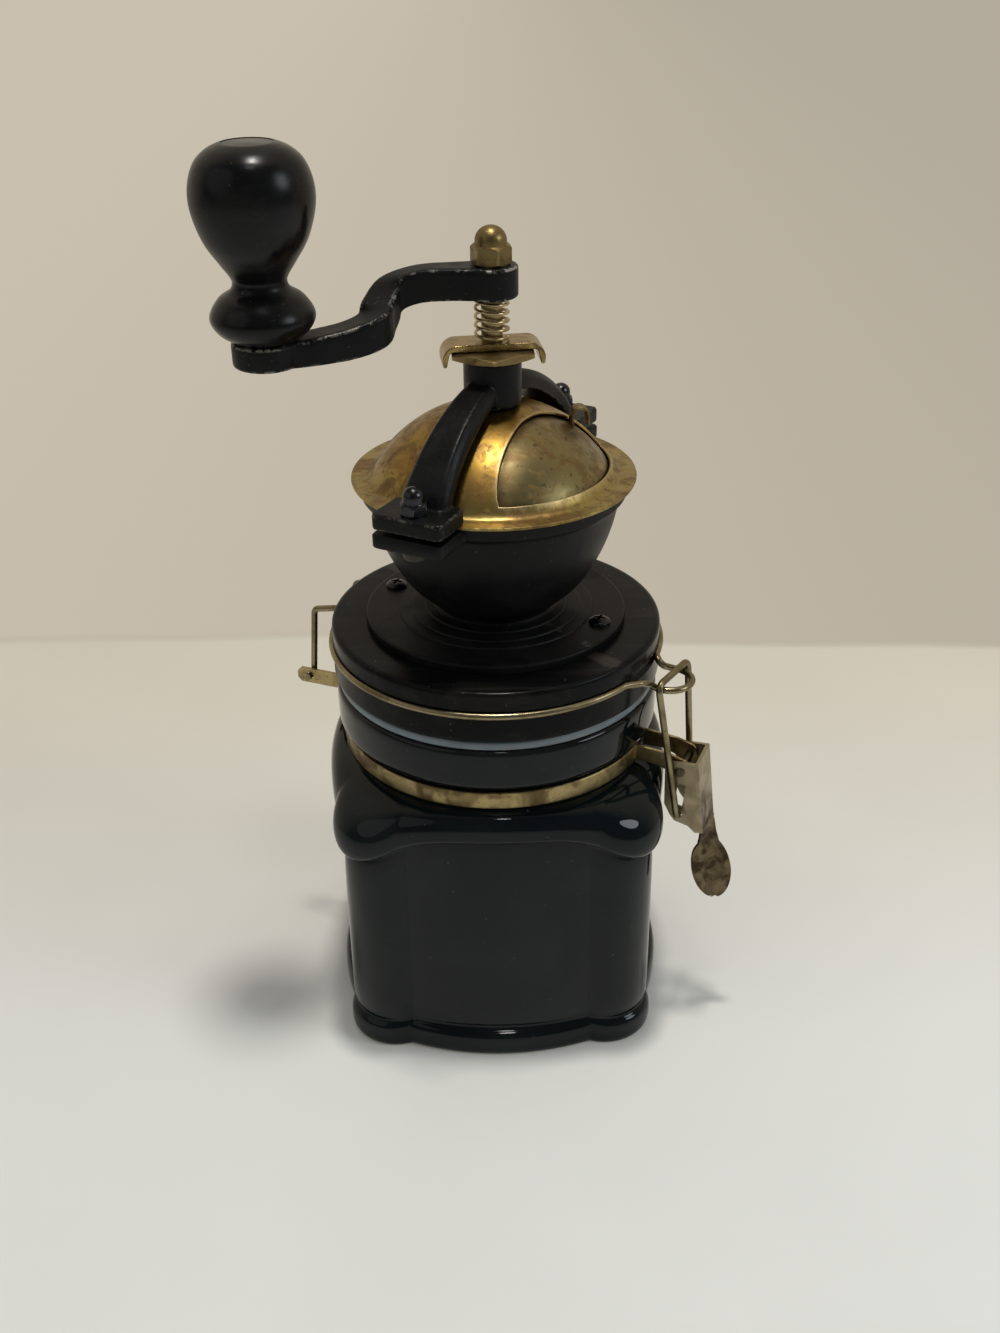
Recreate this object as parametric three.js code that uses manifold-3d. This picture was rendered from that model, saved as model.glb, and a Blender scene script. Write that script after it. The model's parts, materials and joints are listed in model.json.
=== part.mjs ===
// A manual coffee grinder: a glazed, four-sided jar with a swing-top closure. Its lid carries a cast
// iron hand mill with a brass dome, a sliding hopper door and a cranked handle. Millimetres, +Z up,
// origin at the middle of the jar's foot, one panel of the jar facing -Y.
import * as THREE from "three";
import { mergeVertices } from "three/addons/utils/BufferGeometryUtils.js";
import Module from "manifold-3d";

const wasm = await Module();
wasm.setup();

// Clearances
const GAP = 0.3; // seat or running gap between two pieces
const ROUND = 36; // sides of a large turned piece
const SMALL_ROUND = 18; // sides of a small turned piece

// Jar
const JAR = {
  footHalf: 53.4, // axis to the middle of a panel, at the foot
  bodyHalf: 50.7, // axis to the middle of a panel, at mid height
  shoulderHalf: 53.4,
  footCrease: 55.9, // axis to the crease between panel and corner lobe
  bodyCrease: 54.9,
  shoulderCrease: 58,
  footCorner: 62.9, // axis to the top of a corner lobe
  bodyCorner: 61.7,
  shoulderCorner: 64.5,
  creaseAngle: 31.3, // degrees from the panel's middle
  footHeight: 9,
  cornerTop: 71.5, // height of the crease under the shoulder at a corner
  archRise: 10.8, // how much higher that crease is at a panel's middle
  archPower: 3.5, // above 1, the arch is broad over a panel and dips quickly at a corner
  shoulderTop: 91.2,
  neckRadius: 46.7,
  rimRadius: 49.7,
  rimBottom: 99.8,
  rimTop: 112.3,
  mouthRadius: 42,
  wall: 4.6,
  floor: 6,
};
const BAND = { bottom: 91.8, height: 5.6, thick: 1.0 };

// Lid and gasket
const GASKET_HEIGHT = 3.1;
const GASKET_RADIUS = 49;
const LID = { radius: 50, height: 16.4, spigotRadius: 39.5, spigotDrop: 4.9, chuteRadius: 14 };
const LID_BOTTOM = JAR.rimTop + GASKET_HEIGHT;
const LID_TOP = LID_BOTTOM + LID.height;

// Closure: +X of its own frame points at the lever. The hinge is not quite opposite the lever.
const CLOSURE_AZIMUTH = -22; // degrees
const HINGE_TURN = -10; // degrees from the point opposite the lever to the middle of the hinge
const WIRE = 1.03; // radius of the bail and link wire
const BAIL = {
  radius: 50.2, // of the ring, to the wire's centre
  height: LID_TOP - 7.2,
  hingeReach: 65.3, // axis to the foot of a hinge leg
  legReach: 63.2, // axis to the top of a hinge leg
  legTop: LID_TOP - 10.5,
  legAngle: 10, // degrees from the hinge's middle to each leg
  noseHeight: LID_TOP - 12.7,
  noseCentre: 55.4,
  noseRadius: 6.8,
};
const HINGE_HEIGHT = 97.1;
const SADDLE_HALF = 11; // half the width of the hinge bracket on the band
const SHEET = 1.0; // thickness of the closure's sheet metal
const LEVER = {
  pivotX: 62.0,
  pivotZ: 91.6,
  halfWidth: 6.6,
  topZ: 95.2,
  faceX: 66.5, // outer face at the top, inner side
  faceLean: 2.7, // how much further out the face is at the bottom of the channel
  channelBottom: 71.0,
  tabLength: 27.5,
  tabHalf: 6.3,
  tabTwist: 62, // degrees
};
const LINK = {
  pinX: 62,
  pinZ: 76.2,
  barX: BAIL.noseCentre + 1.2,
  barSkew: 1.9, // how much nearer the jar one end of the bar is, and the other end further
  barZ: BAIL.noseHeight + 2 * WIRE + GAP,
  topHalf: BAIL.noseRadius + 2 * WIRE + GAP + 0.1,
};
const PIN_RADIUS = 1.2;

// Mill body and burrs
const PLATE = { radius: 39.3, thick: 2.6, neckRadius: 17.8 };
const PLATE_STEPS = [29.3, 25.6, 21.3]; // radii of the low rings turned on the plate
const PLATE_STEP_HEIGHT = 0.5;
const BOWL = { rimRadius: 38.7, height: 44.7, wall: 3 }; // height is from the lid's top to the rim
const BOWL_RIM = LID_TOP + BOWL.height;
const BURR_SEAT = { radius: 15.2, top: 14.4 }; // top is above the lid
const SPIDER_THICK = 3.0;
const BURR = { teeth: 12, ringTeeth: 16, bottomRadius: 12.0, topRadius: 6.4, height: 12.2, clearance: 0.7 };
const SCREW = { circle: 33.5, azimuth: -23, headRadius: 3.2, headHeight: 1.9, shankRadius: 1.7 };

// Dome, door and bridge
const DOME = { sphere: 41.5, flangeRadius: 41.3, thick: 0.9, crown: LID_TOP + 66.5 };
const DOME_CENTRE = DOME.crown - DOME.sphere;
const OPENING = { azimuth: -33.5, halfAngle: 55, inner: 12.3, outer: 34 };
const DOOR = {
  thick: 0.8,
  halfAngle: OPENING.halfAngle + 3,
  outer: 34.6,
  hubRadius: 10.4,
  tabTurn: OPENING.halfAngle - 12.5, // degrees from the middle of the leaf
  tabInner: 22.4, // axis to the root of the tab
  tabOuter: 27.8,
  tabWidth: 4.6,
  tabTop: DOME_CENTRE + 38.9,
};
const BRIDGE_AZIMUTH = -117;
const EAR = { boltCircle: 46.5, halfWidth: 10.8, inner: 38, outer: 51.7, thick: 4.2 };
const FOOT_THICK = 4.6; // of the bridge's feet
const BOSS = { radius: 8.2, top: LID_TOP + 80.2, armTop: LID_TOP + 71.4, spigotRadius: 6.7 };
const EAR_BOLT_RADIUS = 2.0;
const ACORN_SMALL = { across: 7, hexHeight: 3.2, domeRadius: 2.9, height: 7.6 };

// Shaft, adjuster and crank
const SHAFT_RADIUS = 3;
const SHAFT_BOTTOM = LID_TOP - 1.2;
const THREAD_RADIUS = 2.5;
const SQUARE = 5; // across the flats of the shaft's drive square
const ADJUSTER = { across: 22.8, thick: 1.9, turn: 3 };
const ADJUSTER_BOTTOM = BOSS.top + GAP;
const ADJUSTER_TOP = ADJUSTER_BOTTOM + ADJUSTER.thick;
const LOCK = { halfSpan: 14.4, thick: 1.9, halfWidth: 5, bend: 4.4, tipDrop: 3.9, turn: 7 };
const LOCK_BOTTOM = ADJUSTER_TOP + GAP;
const LOCK_TOP = LOCK_BOTTOM + LOCK.thick;
const SPRING = { outer: 5, wire: 0.45, turns: 4.5 };
const HUB = { radius: 7.4, height: 8.8, top: LID_TOP + 105.4 };
const HUB_BOTTOM = HUB.top - HUB.height;
const ACORN_LARGE = { across: 10, hexHeight: 5.2, domeRadius: 4.4, height: 10.3 };
const CRANK = { azimuth: 198.9, reach: 62.9, endRadius: 9, drop: 14, endHeight: 6.8 };
const KNOB_SPINDLE_RADIUS = 2.5;
const KNOB = { height: 49.6, bore: 38 };
const KNOB_BOTTOM = HUB.top - CRANK.drop + GAP;

// Finishes
const glaze = new THREE.MeshStandardMaterial({ color: 0x0b0c0e, roughness: 0.06, metalness: 0 });
const lacquer = new THREE.MeshStandardMaterial({ color: 0x121213, roughness: 0.28, metalness: 0 });
const iron = new THREE.MeshStandardMaterial({ color: 0x17181a, roughness: 0.55, metalness: 0.3 });
const brass = new THREE.MeshStandardMaterial({ color: 0xa88646, roughness: 0.35, metalness: 1 });
const wireFinish = new THREE.MeshStandardMaterial({ color: 0x8f8158, roughness: 0.35, metalness: 1 });
const steel = new THREE.MeshStandardMaterial({ color: 0x6d6f72, roughness: 0.35, metalness: 1 });
const darkSteel = new THREE.MeshStandardMaterial({ color: 0x26272a, roughness: 0.3, metalness: 1 });
const silicone = new THREE.MeshStandardMaterial({ color: 0xb9bfbf, roughness: 0.7, metalness: 0 });

const radians = THREE.MathUtils.degToRad;
const grinder = new THREE.Group();
const closure = new THREE.Group();
closure.rotation.z = radians(CLOSURE_AZIMUTH);
const hingeFrame = new THREE.Group();
hingeFrame.rotation.z = radians(CLOSURE_AZIMUTH + HINGE_TURN);
const bridgeFrame = new THREE.Group();
bridgeFrame.rotation.z = radians(BRIDGE_AZIMUTH);
const crankFrame = new THREE.Group();
crankFrame.rotation.z = radians(CRANK.azimuth);
grinder.add(closure, hingeFrame, bridgeFrame, crankFrame);

function place(name, geometry, material, parent = grinder) {
  const mesh = new THREE.Mesh(geometry, material);
  mesh.name = name;
  parent.add(mesh);
  return mesh;
}

// Solids and back: booleans work on shared vertices, geometry classes repeat them.
function solid(geometry) {
  const bare = geometry.clone();
  for (const name of Object.keys(bare.attributes)) if (name !== "position") bare.deleteAttribute(name);
  const merged = mergeVertices(bare, 1e-4);
  const vertProperties = new Float32Array(merged.attributes.position.array);
  const triVerts = new Uint32Array(merged.index.array);
  return new wasm.Manifold(new wasm.Mesh({ numProp: 3, vertProperties, triVerts }));
}

function geometryOf(body) {
  const mesh = body.getMesh();
  const geometry = new THREE.BufferGeometry();
  geometry.setAttribute("position", new THREE.Float32BufferAttribute(mesh.vertProperties, 3));
  geometry.setIndex(new THREE.Uint32BufferAttribute(mesh.triVerts, 1));
  const flat = geometry.toNonIndexed();
  flat.computeVertexNormals();
  return flat;
}

// Shapes
// A turned piece: [radius, height] points, counter-clockwise with the axis on the left.
function turned(points, sides = ROUND) {
  const profile = points.map(([r, z]) => new THREE.Vector2(r, z));
  if (points[0][0] > 0 || points.at(-1)[0] > 0) profile.push(profile[0].clone());
  return new THREE.LatheGeometry(profile, sides).rotateX(Math.PI / 2);
}

function cylinder(radius, bottom, top, sides = SMALL_ROUND) {
  const height = top - bottom;
  const geometry = new THREE.CylinderGeometry(radius, radius, height, sides);
  return geometry.rotateX(Math.PI / 2).translate(0, 0, bottom + height / 2);
}

// A rod along Y between two values of y.
function crossRod(radius, x, z, fromY, toY, sides = 12) {
  const geometry = new THREE.CylinderGeometry(radius, radius, toY - fromY, sides);
  return geometry.translate(x, (fromY + toY) / 2, z);
}

function hexagon(across, bottom, top) {
  return cylinder(across / Math.sqrt(3), bottom, top, 6);
}

// A plate cut to an outline of [x, y] points, from one height to another.
function plate(outline, bottom, top) {
  const shape = new THREE.Shape(outline.map(([x, y]) => new THREE.Vector2(x, y)));
  const geometry = new THREE.ExtrudeGeometry(shape, { depth: top - bottom, bevelEnabled: false });
  return geometry.translate(0, 0, bottom);
}

// A plate cut to an outline of [x, z] points, standing between two values of y.
function uprightPlate(outline, fromY, toY) {
  const geometry = plate(outline, -toY, -fromY);
  return geometry.rotateX(Math.PI / 2);
}

// Skin over a row of rings with the same number of points. The two ends are closed by fans,
// or, for a piece with a bore, the last ring joins the first.
function loft(rings, joined = false) {
  const count = rings[0].length;
  const positions = rings.flat().flatMap((p) => [p.x, p.y, p.z]);
  const faces = [];
  const last = joined ? rings.length : rings.length - 1;
  for (let i = 0; i < last; i++) {
    const low = i * count;
    const high = ((i + 1) % rings.length) * count;
    for (let j = 0; j < count; j++) {
      const k = (j + 1) % count;
      faces.push(low + j, low + k, high + k, low + j, high + k, high + j);
    }
  }
  if (!joined) {
    for (const end of [0, rings.length - 1]) {
      const centre = rings[end].reduce((sum, p) => sum.add(p), new THREE.Vector3()).divideScalar(count);
      const tip = positions.length / 3;
      positions.push(centre.x, centre.y, centre.z);
      for (let j = 0; j < count; j++) {
        const pair = [end * count + j, end * count + ((j + 1) % count)];
        if (end === 0) pair.reverse();
        faces.push(...pair, tip);
      }
    }
  }
  const geometry = new THREE.BufferGeometry();
  geometry.setAttribute("position", new THREE.Float32BufferAttribute(positions, 3));
  geometry.setIndex(faces);
  return geometry;
}

// A path through its own list of stations, so that bends get more steps than straight runs.
class BentPath extends THREE.Curve {
  constructor(stations) {
    super();
    this.stations = stations;
  }
  getPoint(t, target = new THREE.Vector3()) {
    const s = t * (this.stations.length - 1);
    const i = Math.min(Math.floor(s), this.stations.length - 2);
    return target.lerpVectors(this.stations[i], this.stations[i + 1], s - i);
  }
  getPointAt(u, target) {
    return this.getPoint(u, target);
  }
  getTangentAt(u, target = new THREE.Vector3()) {
    const i = Math.round(u * (this.stations.length - 1));
    const before = this.stations[Math.max(i - 1, 0)];
    const after = this.stations[Math.min(i + 1, this.stations.length - 1)];
    return target.copy(after).sub(before).normalize();
  }
}

function circleShape(radius, sides) {
  const points = [];
  for (let i = 0; i < sides; i++) {
    const a = (i / sides) * 2 * Math.PI;
    points.push(new THREE.Vector2(radius * Math.cos(a), radius * Math.sin(a)));
  }
  return new THREE.Shape(points);
}

function tube(stations, radius, sides = 8) {
  const extrudePath = new BentPath(stations);
  const steps = stations.length - 1;
  return new THREE.ExtrudeGeometry(circleShape(radius, sides), { steps, extrudePath, bevelEnabled: false });
}

// Stations of a wire bent round corners: each corner is { at, bend }, and each bend is an arc.
function bentStations(corners, stepAngle = 24) {
  const stations = [corners[0].at.clone()];
  for (let i = 1; i < corners.length - 1; i++) {
    const { at, bend } = corners[i];
    const inward = corners[i - 1].at.clone().sub(at).normalize();
    const outward = corners[i + 1].at.clone().sub(at).normalize();
    const turn = Math.PI - inward.angleTo(outward);
    if (!bend || turn < radians(2)) {
      stations.push(at.clone());
      continue;
    }
    const setback = bend * Math.tan(turn / 2);
    const start = at.clone().addScaledVector(inward, setback);
    const middle = inward.clone().add(outward).normalize();
    const centre = at.clone().addScaledVector(middle, bend / Math.cos(turn / 2));
    const spoke = start.clone().sub(centre);
    const axis = inward.clone().cross(outward).normalize();
    const steps = Math.max(2, Math.round(turn / radians(stepAngle)));
    for (let k = 0; k <= steps; k++) {
      stations.push(spoke.clone().applyAxisAngle(axis, -(k / steps) * turn).add(centre));
    }
  }
  stations.push(corners.at(-1).at.clone());
  return stations;
}

const at = (x, y, z) => new THREE.Vector3(x, y, z);

// Jar: four shallow panel arcs and four corner lobes, the same number of points at every height
const PANEL_STEPS = 5;
const LOBE_STEPS = 4;

// Points of the arc through a start, a middle and an end, without the end point.
function arcThrough(start, middle, end, steps) {
  const [ax, ay, bx, by, cx, cy] = [...start, ...middle, ...end];
  const d = 2 * (ax * (by - cy) + bx * (cy - ay) + cx * (ay - by));
  const a2 = ax * ax + ay * ay;
  const b2 = bx * bx + by * by;
  const c2 = cx * cx + cy * cy;
  const ux = (a2 * (by - cy) + b2 * (cy - ay) + c2 * (ay - by)) / d;
  const uy = (a2 * (cx - bx) + b2 * (ax - cx) + c2 * (bx - ax)) / d;
  const radius = Math.hypot(ax - ux, ay - uy);
  const from = Math.atan2(ay - uy, ax - ux);
  let sweep = Math.atan2(cy - uy, cx - ux) - from;
  while (sweep < 0) sweep += 2 * Math.PI;
  const points = [];
  for (let i = 0; i < steps; i++) {
    const a = from + (i / steps) * sweep;
    points.push([ux + radius * Math.cos(a), uy + radius * Math.sin(a)]);
  }
  return points;
}

// One ring of the jar. heightAt gives the height at an angle from a panel's middle.
function jarRing(half, crease, corner, heightAt) {
  const polar = (r, degrees) => [r * Math.cos(radians(degrees)), r * Math.sin(radians(degrees))];
  const outline = [];
  for (let side = 0; side < 4; side++) {
    const face = side * 90;
    const left = polar(crease, face - JAR.creaseAngle);
    const right = polar(crease, face + JAR.creaseAngle);
    const nextLeft = polar(crease, face + 90 - JAR.creaseAngle);
    outline.push(...arcThrough(left, polar(half, face), right, PANEL_STEPS));
    outline.push(...arcThrough(right, polar(corner, face + 45), nextLeft, LOBE_STEPS));
  }
  return outline.map(([x, y]) => at(x, y, heightAt(Math.atan2(y, x))));
}

const level = (z) => () => z;
// An arched height: low at the corners, higher by rise at the middle of each panel.
function arched(low, rise) {
  return (angle) => low + rise * (1 - (0.5 - 0.5 * Math.cos(4 * angle)) ** JAR.archPower);
}
const roundRing = (radius, z) => jarRing(radius, radius, radius, level(z));

function jarGeometry() {
  const { footHalf: fh, bodyHalf: bh, shoulderHalf: sh, wall, floor } = JAR;
  const { footCrease: fc, bodyCrease: bc, shoulderCrease: sc } = JAR;
  const { footCorner: fk, bodyCorner: bk, shoulderCorner: sk } = JAR;
  const arch = JAR.archRise;
  const crease = JAR.cornerTop;
  const top = JAR.shoulderTop;
  const grooveTop = JAR.rimBottom - 2;
  const outside = [
    jarRing(fh - 1.6, fc - 1.6, fk - 1.6, level(0)),
    jarRing(fh - 0.3, fc - 0.3, fk - 0.3, level(1.3)),
    jarRing(fh, fc, fk, level(4.2)),
    jarRing(fh - 0.5, fc - 0.6, fk - 0.5, level(JAR.footHeight - 1.6)),
    jarRing(bh - 0.6, bc - 1, bk - 1.2, level(JAR.footHeight + 0.2)),
    jarRing(bh, bc, bk, level(JAR.footHeight + 4)),
    jarRing(bh, bc, bk, arched(crease - 12, arch)),
    jarRing(bh - 0.7, bc - 1, bk - 1.6, arched(crease - 1.2, arch)),
    jarRing(bh - 1.1, bc - 1.2, bk - 2.2, arched(crease, arch)),
    jarRing(sh - 0.6, sc - 0.7, sk - 1, arched(crease + 1.6, arch * 0.92)),
    jarRing(sh - 0.9, sc - 0.2, sk, arched(crease + 5, arch * 0.74)),
    jarRing(sh - 1.6, sc - 1, sk - 1.6, arched(crease + 10, arch * 0.5)),
    jarRing(sh - 2.5, sc - 3.4, sk - 6, arched(crease + 15, arch * 0.28)),
    jarRing(sh - 3.6, sc - 7, sk - 12, arched(crease + 18.4, arch * 0.1)),
    roundRing(JAR.neckRadius + 0.3, top),
    roundRing(JAR.neckRadius, top + 0.5),
    roundRing(JAR.neckRadius, grooveTop),
    roundRing(JAR.rimRadius - 0.5, JAR.rimBottom - 0.4),
    roundRing(JAR.rimRadius, JAR.rimBottom + 1),
    roundRing(JAR.rimRadius, JAR.rimTop - 1.4),
    roundRing(JAR.rimRadius - 1.2, JAR.rimTop),
  ];
  const inside = [
    roundRing(JAR.mouthRadius + 0.8, JAR.rimTop),
    roundRing(JAR.mouthRadius, JAR.rimTop - 1),
    roundRing(JAR.mouthRadius, top),
    jarRing(sh - wall - 2.5, sc - wall - 5, sk - wall - 9, level(crease + 14)),
    jarRing(bh - wall, bc - wall - 0.6, bk - wall - 1, level(crease - 2)),
    jarRing(bh - wall, bc - wall, bk - wall, level(crease - 12)),
    jarRing(bh - wall, bc - wall, bk - wall, level(floor + 6)),
    jarRing(bh - wall - 5, bc - wall - 5, bk - wall - 6, level(floor)),
  ];
  return loft([...outside, ...inside]);
}
place("jar", jarGeometry(), glaze);

// Gasket and lid: the spigot holds the gasket in place, and the lid's edge has the bail's groove
function gasketGeometry() {
  const inner = LID.spigotRadius + GAP;
  return turned([
    [inner, JAR.rimTop],
    [GASKET_RADIUS, JAR.rimTop],
    [GASKET_RADIUS, LID_BOTTOM],
    [inner, LID_BOTTOM],
  ]);
}
place("gasket", gasketGeometry(), silicone);

function lidGeometry() {
  const { radius, spigotRadius, chuteRadius } = LID;
  const groove = WIRE + GAP;
  const open = Math.sqrt(groove ** 2 - (BAIL.radius - radius) ** 2);
  const profile = [
    [chuteRadius, LID_BOTTOM - LID.spigotDrop],
    [spigotRadius, LID_BOTTOM - LID.spigotDrop],
    [spigotRadius, LID_BOTTOM],
    [radius - 0.8, LID_BOTTOM],
    [radius, LID_BOTTOM + 0.8],
    [radius, BAIL.height - open],
    [BAIL.radius - groove * 0.8, BAIL.height - groove * 0.6],
    [BAIL.radius - groove, BAIL.height],
    [BAIL.radius - groove * 0.8, BAIL.height + groove * 0.6],
    [radius, BAIL.height + open],
    [radius, LID_TOP - 1.4],
    [radius - 0.5, LID_TOP - 0.5],
    [radius - 1.5, LID_TOP],
    [chuteRadius, LID_TOP],
  ];
  let body = solid(turned(profile));
  for (const x of screwSpots()) {
    const hole = cylinder(SCREW.shankRadius + GAP, LID_TOP - 11, LID_TOP + 1, 12);
    body = body.subtract(solid(hole.translate(...x)));
  }
  return geometryOf(body);
}

function screwSpots() {
  return [0, 180].map((turn) => {
    const a = radians(SCREW.azimuth + turn);
    return [SCREW.circle * Math.cos(a), SCREW.circle * Math.sin(a), 0];
  });
}
place("lid", lidGeometry(), lacquer);

// Mill body: base plate, neck and bowl in one casting, with two ears for the bridge
const PLATE_TOP = LID_TOP + PLATE.thick;
const SEAT_TOP = LID_TOP + BURR_SEAT.top;

function millBodyGeometry() {
  const steps = [];
  PLATE_STEPS.forEach((r, i) => {
    steps.push([r + 0.2, PLATE_TOP + i * PLATE_STEP_HEIGHT], [r, PLATE_TOP + (i + 1) * PLATE_STEP_HEIGHT]);
  });
  const neckBottom = PLATE_TOP + PLATE_STEPS.length * PLATE_STEP_HEIGHT;
  const neck = PLATE.neckRadius;
  const rim = BOWL.rimRadius;
  const rise = BOWL_RIM - neckBottom;
  const profile = [
    [BURR_SEAT.radius, LID_TOP],
    [PLATE.radius, LID_TOP],
    [PLATE.radius, PLATE_TOP - 0.4],
    [PLATE.radius - 0.4, PLATE_TOP],
    ...steps,
    [neck + 0.8, neckBottom],
    [neck, neckBottom + 0.7],
    [neck + 0.7, neckBottom + rise * 0.06],
    [neck + 4, neckBottom + rise * 0.12],
    [rim - 11.8, neckBottom + rise * 0.25],
    [rim - 7.1, neckBottom + rise * 0.45],
    [rim - 4.1, neckBottom + rise * 0.64],
    [rim - 2.1, neckBottom + rise * 0.85],
    [rim, neckBottom + rise * 0.89],
    [rim + 0.3, BOWL_RIM],
    [rim - BOWL.wall, BOWL_RIM],
    [rim - 2.1 - BOWL.wall, neckBottom + rise * 0.85],
    [rim - 4.1 - BOWL.wall, neckBottom + rise * 0.64],
    [rim - 7.1 - BOWL.wall, neckBottom + rise * 0.48],
    [rim - 11.8 - BOWL.wall, neckBottom + rise * 0.36],
    [BURR_SEAT.radius - 1.6, SEAT_TOP + 2.2],
    [BURR_SEAT.radius - 2.6, SEAT_TOP],
    [BURR_SEAT.radius, SEAT_TOP],
  ];
  let body = solid(turned(profile));
  const ears = earOutline();
  for (const turn of [0, Math.PI]) {
    const ear = solid(plate(ears, BOWL_RIM - EAR.thick, BOWL_RIM).rotateZ(turn));
    const hole = solid(cylinder(EAR_BOLT_RADIUS + GAP, BOWL_RIM - EAR.thick - 1, BOWL_RIM + 1, 12)
      .translate(EAR.boltCircle, 0, 0).rotateZ(turn));
    body = body.add(turnedToBridge(ear)).subtract(turnedToBridge(hole));
  }
  for (const spot of screwSpots()) {
    const hole = cylinder(SCREW.shankRadius + GAP, LID_TOP - 1, PLATE_TOP + 1, 12);
    body = body.subtract(solid(hole.translate(...spot)));
  }
  return geometryOf(body);
}

const turnedToBridge = (body) => body.rotate([0, 0, BRIDGE_AZIMUTH]);

function earOutline(inner = BOWL.rimRadius - 5) {
  const { halfWidth: w, outer } = EAR;
  return [
    [inner, -w + 0.4],
    [outer - 1.2, -w],
    [outer, -w + 1.2],
    [outer, w - 1.2],
    [outer - 1.2, w],
    [inner, w - 0.4],
  ];
}
place("mill_body", millBodyGeometry(), iron);

screwSpots().forEach((spot, i) => {
  const { headRadius: r, headHeight: h, shankRadius } = SCREW;
  const seat = PLATE_TOP;
  const head = turned([
    [0, LID_TOP - 10],
    [shankRadius, LID_TOP - 9],
    [shankRadius, seat],
    [r, seat],
    [r, seat + h * 0.3],
    [r * 0.8, seat + h * 0.75],
    [r * 0.4, seat + h],
    [0, seat + h],
  ], 14);
  const cross = [0, Math.PI / 2].map((turn) =>
    solid(new THREE.BoxGeometry(r * 1.1, 0.8, 2).rotateZ(turn).translate(0, 0, seat + h + 0.1)));
  const body = solid(head).subtract(cross[0].add(cross[1]));
  place(`mill_screw_${i + 1}`, geometryOf(body).translate(...spot), iron);
});

// Burrs: a ring with teeth inside, held up by a spider, and a toothed cone on the shaft
const SPIDER_BOTTOM = LID_TOP;
const RING_BURR_BOTTOM = SPIDER_BOTTOM + SPIDER_THICK + GAP;
const RING_BURR_TOP = SEAT_TOP - GAP;
const CONE_BOTTOM = RING_BURR_BOTTOM + 0.2;
const CONE_TOP = CONE_BOTTOM + BURR.height;

function spiderGeometry() {
  const outer = BURR_SEAT.radius - GAP;
  const ring = turned([
    [outer - 2.2, SPIDER_BOTTOM],
    [outer, SPIDER_BOTTOM],
    [outer, SPIDER_BOTTOM + SPIDER_THICK],
    [outer - 2.2, SPIDER_BOTTOM + SPIDER_THICK],
  ], 24);
  const hub = cylinder(SHAFT_RADIUS + 2.6, SPIDER_BOTTOM, SPIDER_BOTTOM + SPIDER_THICK);
  let body = solid(ring).add(solid(hub));
  for (let i = 0; i < 3; i++) {
    const arm = new THREE.BoxGeometry(outer - 1, 3, SPIDER_THICK);
    arm.translate((outer - 1) / 2, 0, SPIDER_BOTTOM + SPIDER_THICK / 2).rotateZ((i * 2 * Math.PI) / 3);
    body = body.add(solid(arm));
  }
  const bore = cylinder(SHAFT_RADIUS + GAP, SPIDER_BOTTOM - 1, SPIDER_BOTTOM + SPIDER_THICK + 1);
  return geometryOf(body.subtract(solid(bore)));
}
place("burr_spider", spiderGeometry(), steel);

// Radius of the cone's tooth tips at a height, and of the ring's teeth just outside it.
const coneRadius = (z) => {
  const share = Math.max(0, (z - CONE_BOTTOM) / BURR.height);
  return THREE.MathUtils.lerp(BURR.bottomRadius, BURR.topRadius, share ** 1.15);
};

function toothRing(teeth, tip, root, z, turn) {
  const ring = [];
  for (let i = 0; i < teeth; i++) {
    const a = ((i / teeth) * 2 * Math.PI) + turn;
    const pitch = (2 * Math.PI) / teeth;
    ring.push(at(tip * Math.cos(a), tip * Math.sin(a), z));
    const b = a + pitch * 0.2;
    ring.push(at(tip * Math.cos(b), tip * Math.sin(b), z));
    const c = a + pitch * 0.55;
    ring.push(at(root * Math.cos(c), root * Math.sin(c), z));
  }
  return ring;
}

function circleRing(count, radius, z, turn = 0) {
  const ring = [];
  for (let i = 0; i < count; i++) {
    const a = (i / count) * 2 * Math.PI + turn;
    ring.push(at(radius * Math.cos(a), radius * Math.sin(a), z));
  }
  return ring;
}

function coneBurrGeometry() {
  const rings = [];
  const twist = 0.5;
  const steps = 4;
  for (let i = 0; i <= steps; i++) {
    const z = THREE.MathUtils.lerp(CONE_BOTTOM, CONE_TOP, i / steps);
    const tip = coneRadius(z);
    rings.push(toothRing(BURR.teeth, tip, tip - 1.6, z, (twist * i) / steps));
  }
  const count = rings[0].length;
  rings.push(circleRing(count, SHAFT_RADIUS + GAP, CONE_TOP, twist));
  rings.push(circleRing(count, SHAFT_RADIUS + GAP, CONE_BOTTOM));
  return loft(rings, true);
}
place("cone_burr", coneBurrGeometry(), steel);

function ringBurrGeometry() {
  const rings = [];
  const outer = BURR_SEAT.radius - GAP;
  const count = BURR.ringTeeth * 3;
  rings.push(circleRing(count, outer, RING_BURR_BOTTOM));
  rings.push(circleRing(count, outer, RING_BURR_TOP));
  const steps = 3;
  for (let i = 0; i <= steps; i++) {
    const z = THREE.MathUtils.lerp(RING_BURR_TOP, RING_BURR_BOTTOM, i / steps);
    const tip = coneRadius(z) + BURR.clearance + 2.4 * (1 - i / steps);
    rings.push(toothRing(BURR.ringTeeth, tip, Math.min(tip + 0.9, outer - 0.6), z, 0));
  }
  return loft(rings, true);
}
place("ring_burr", ringBurrGeometry(), steel);

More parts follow.
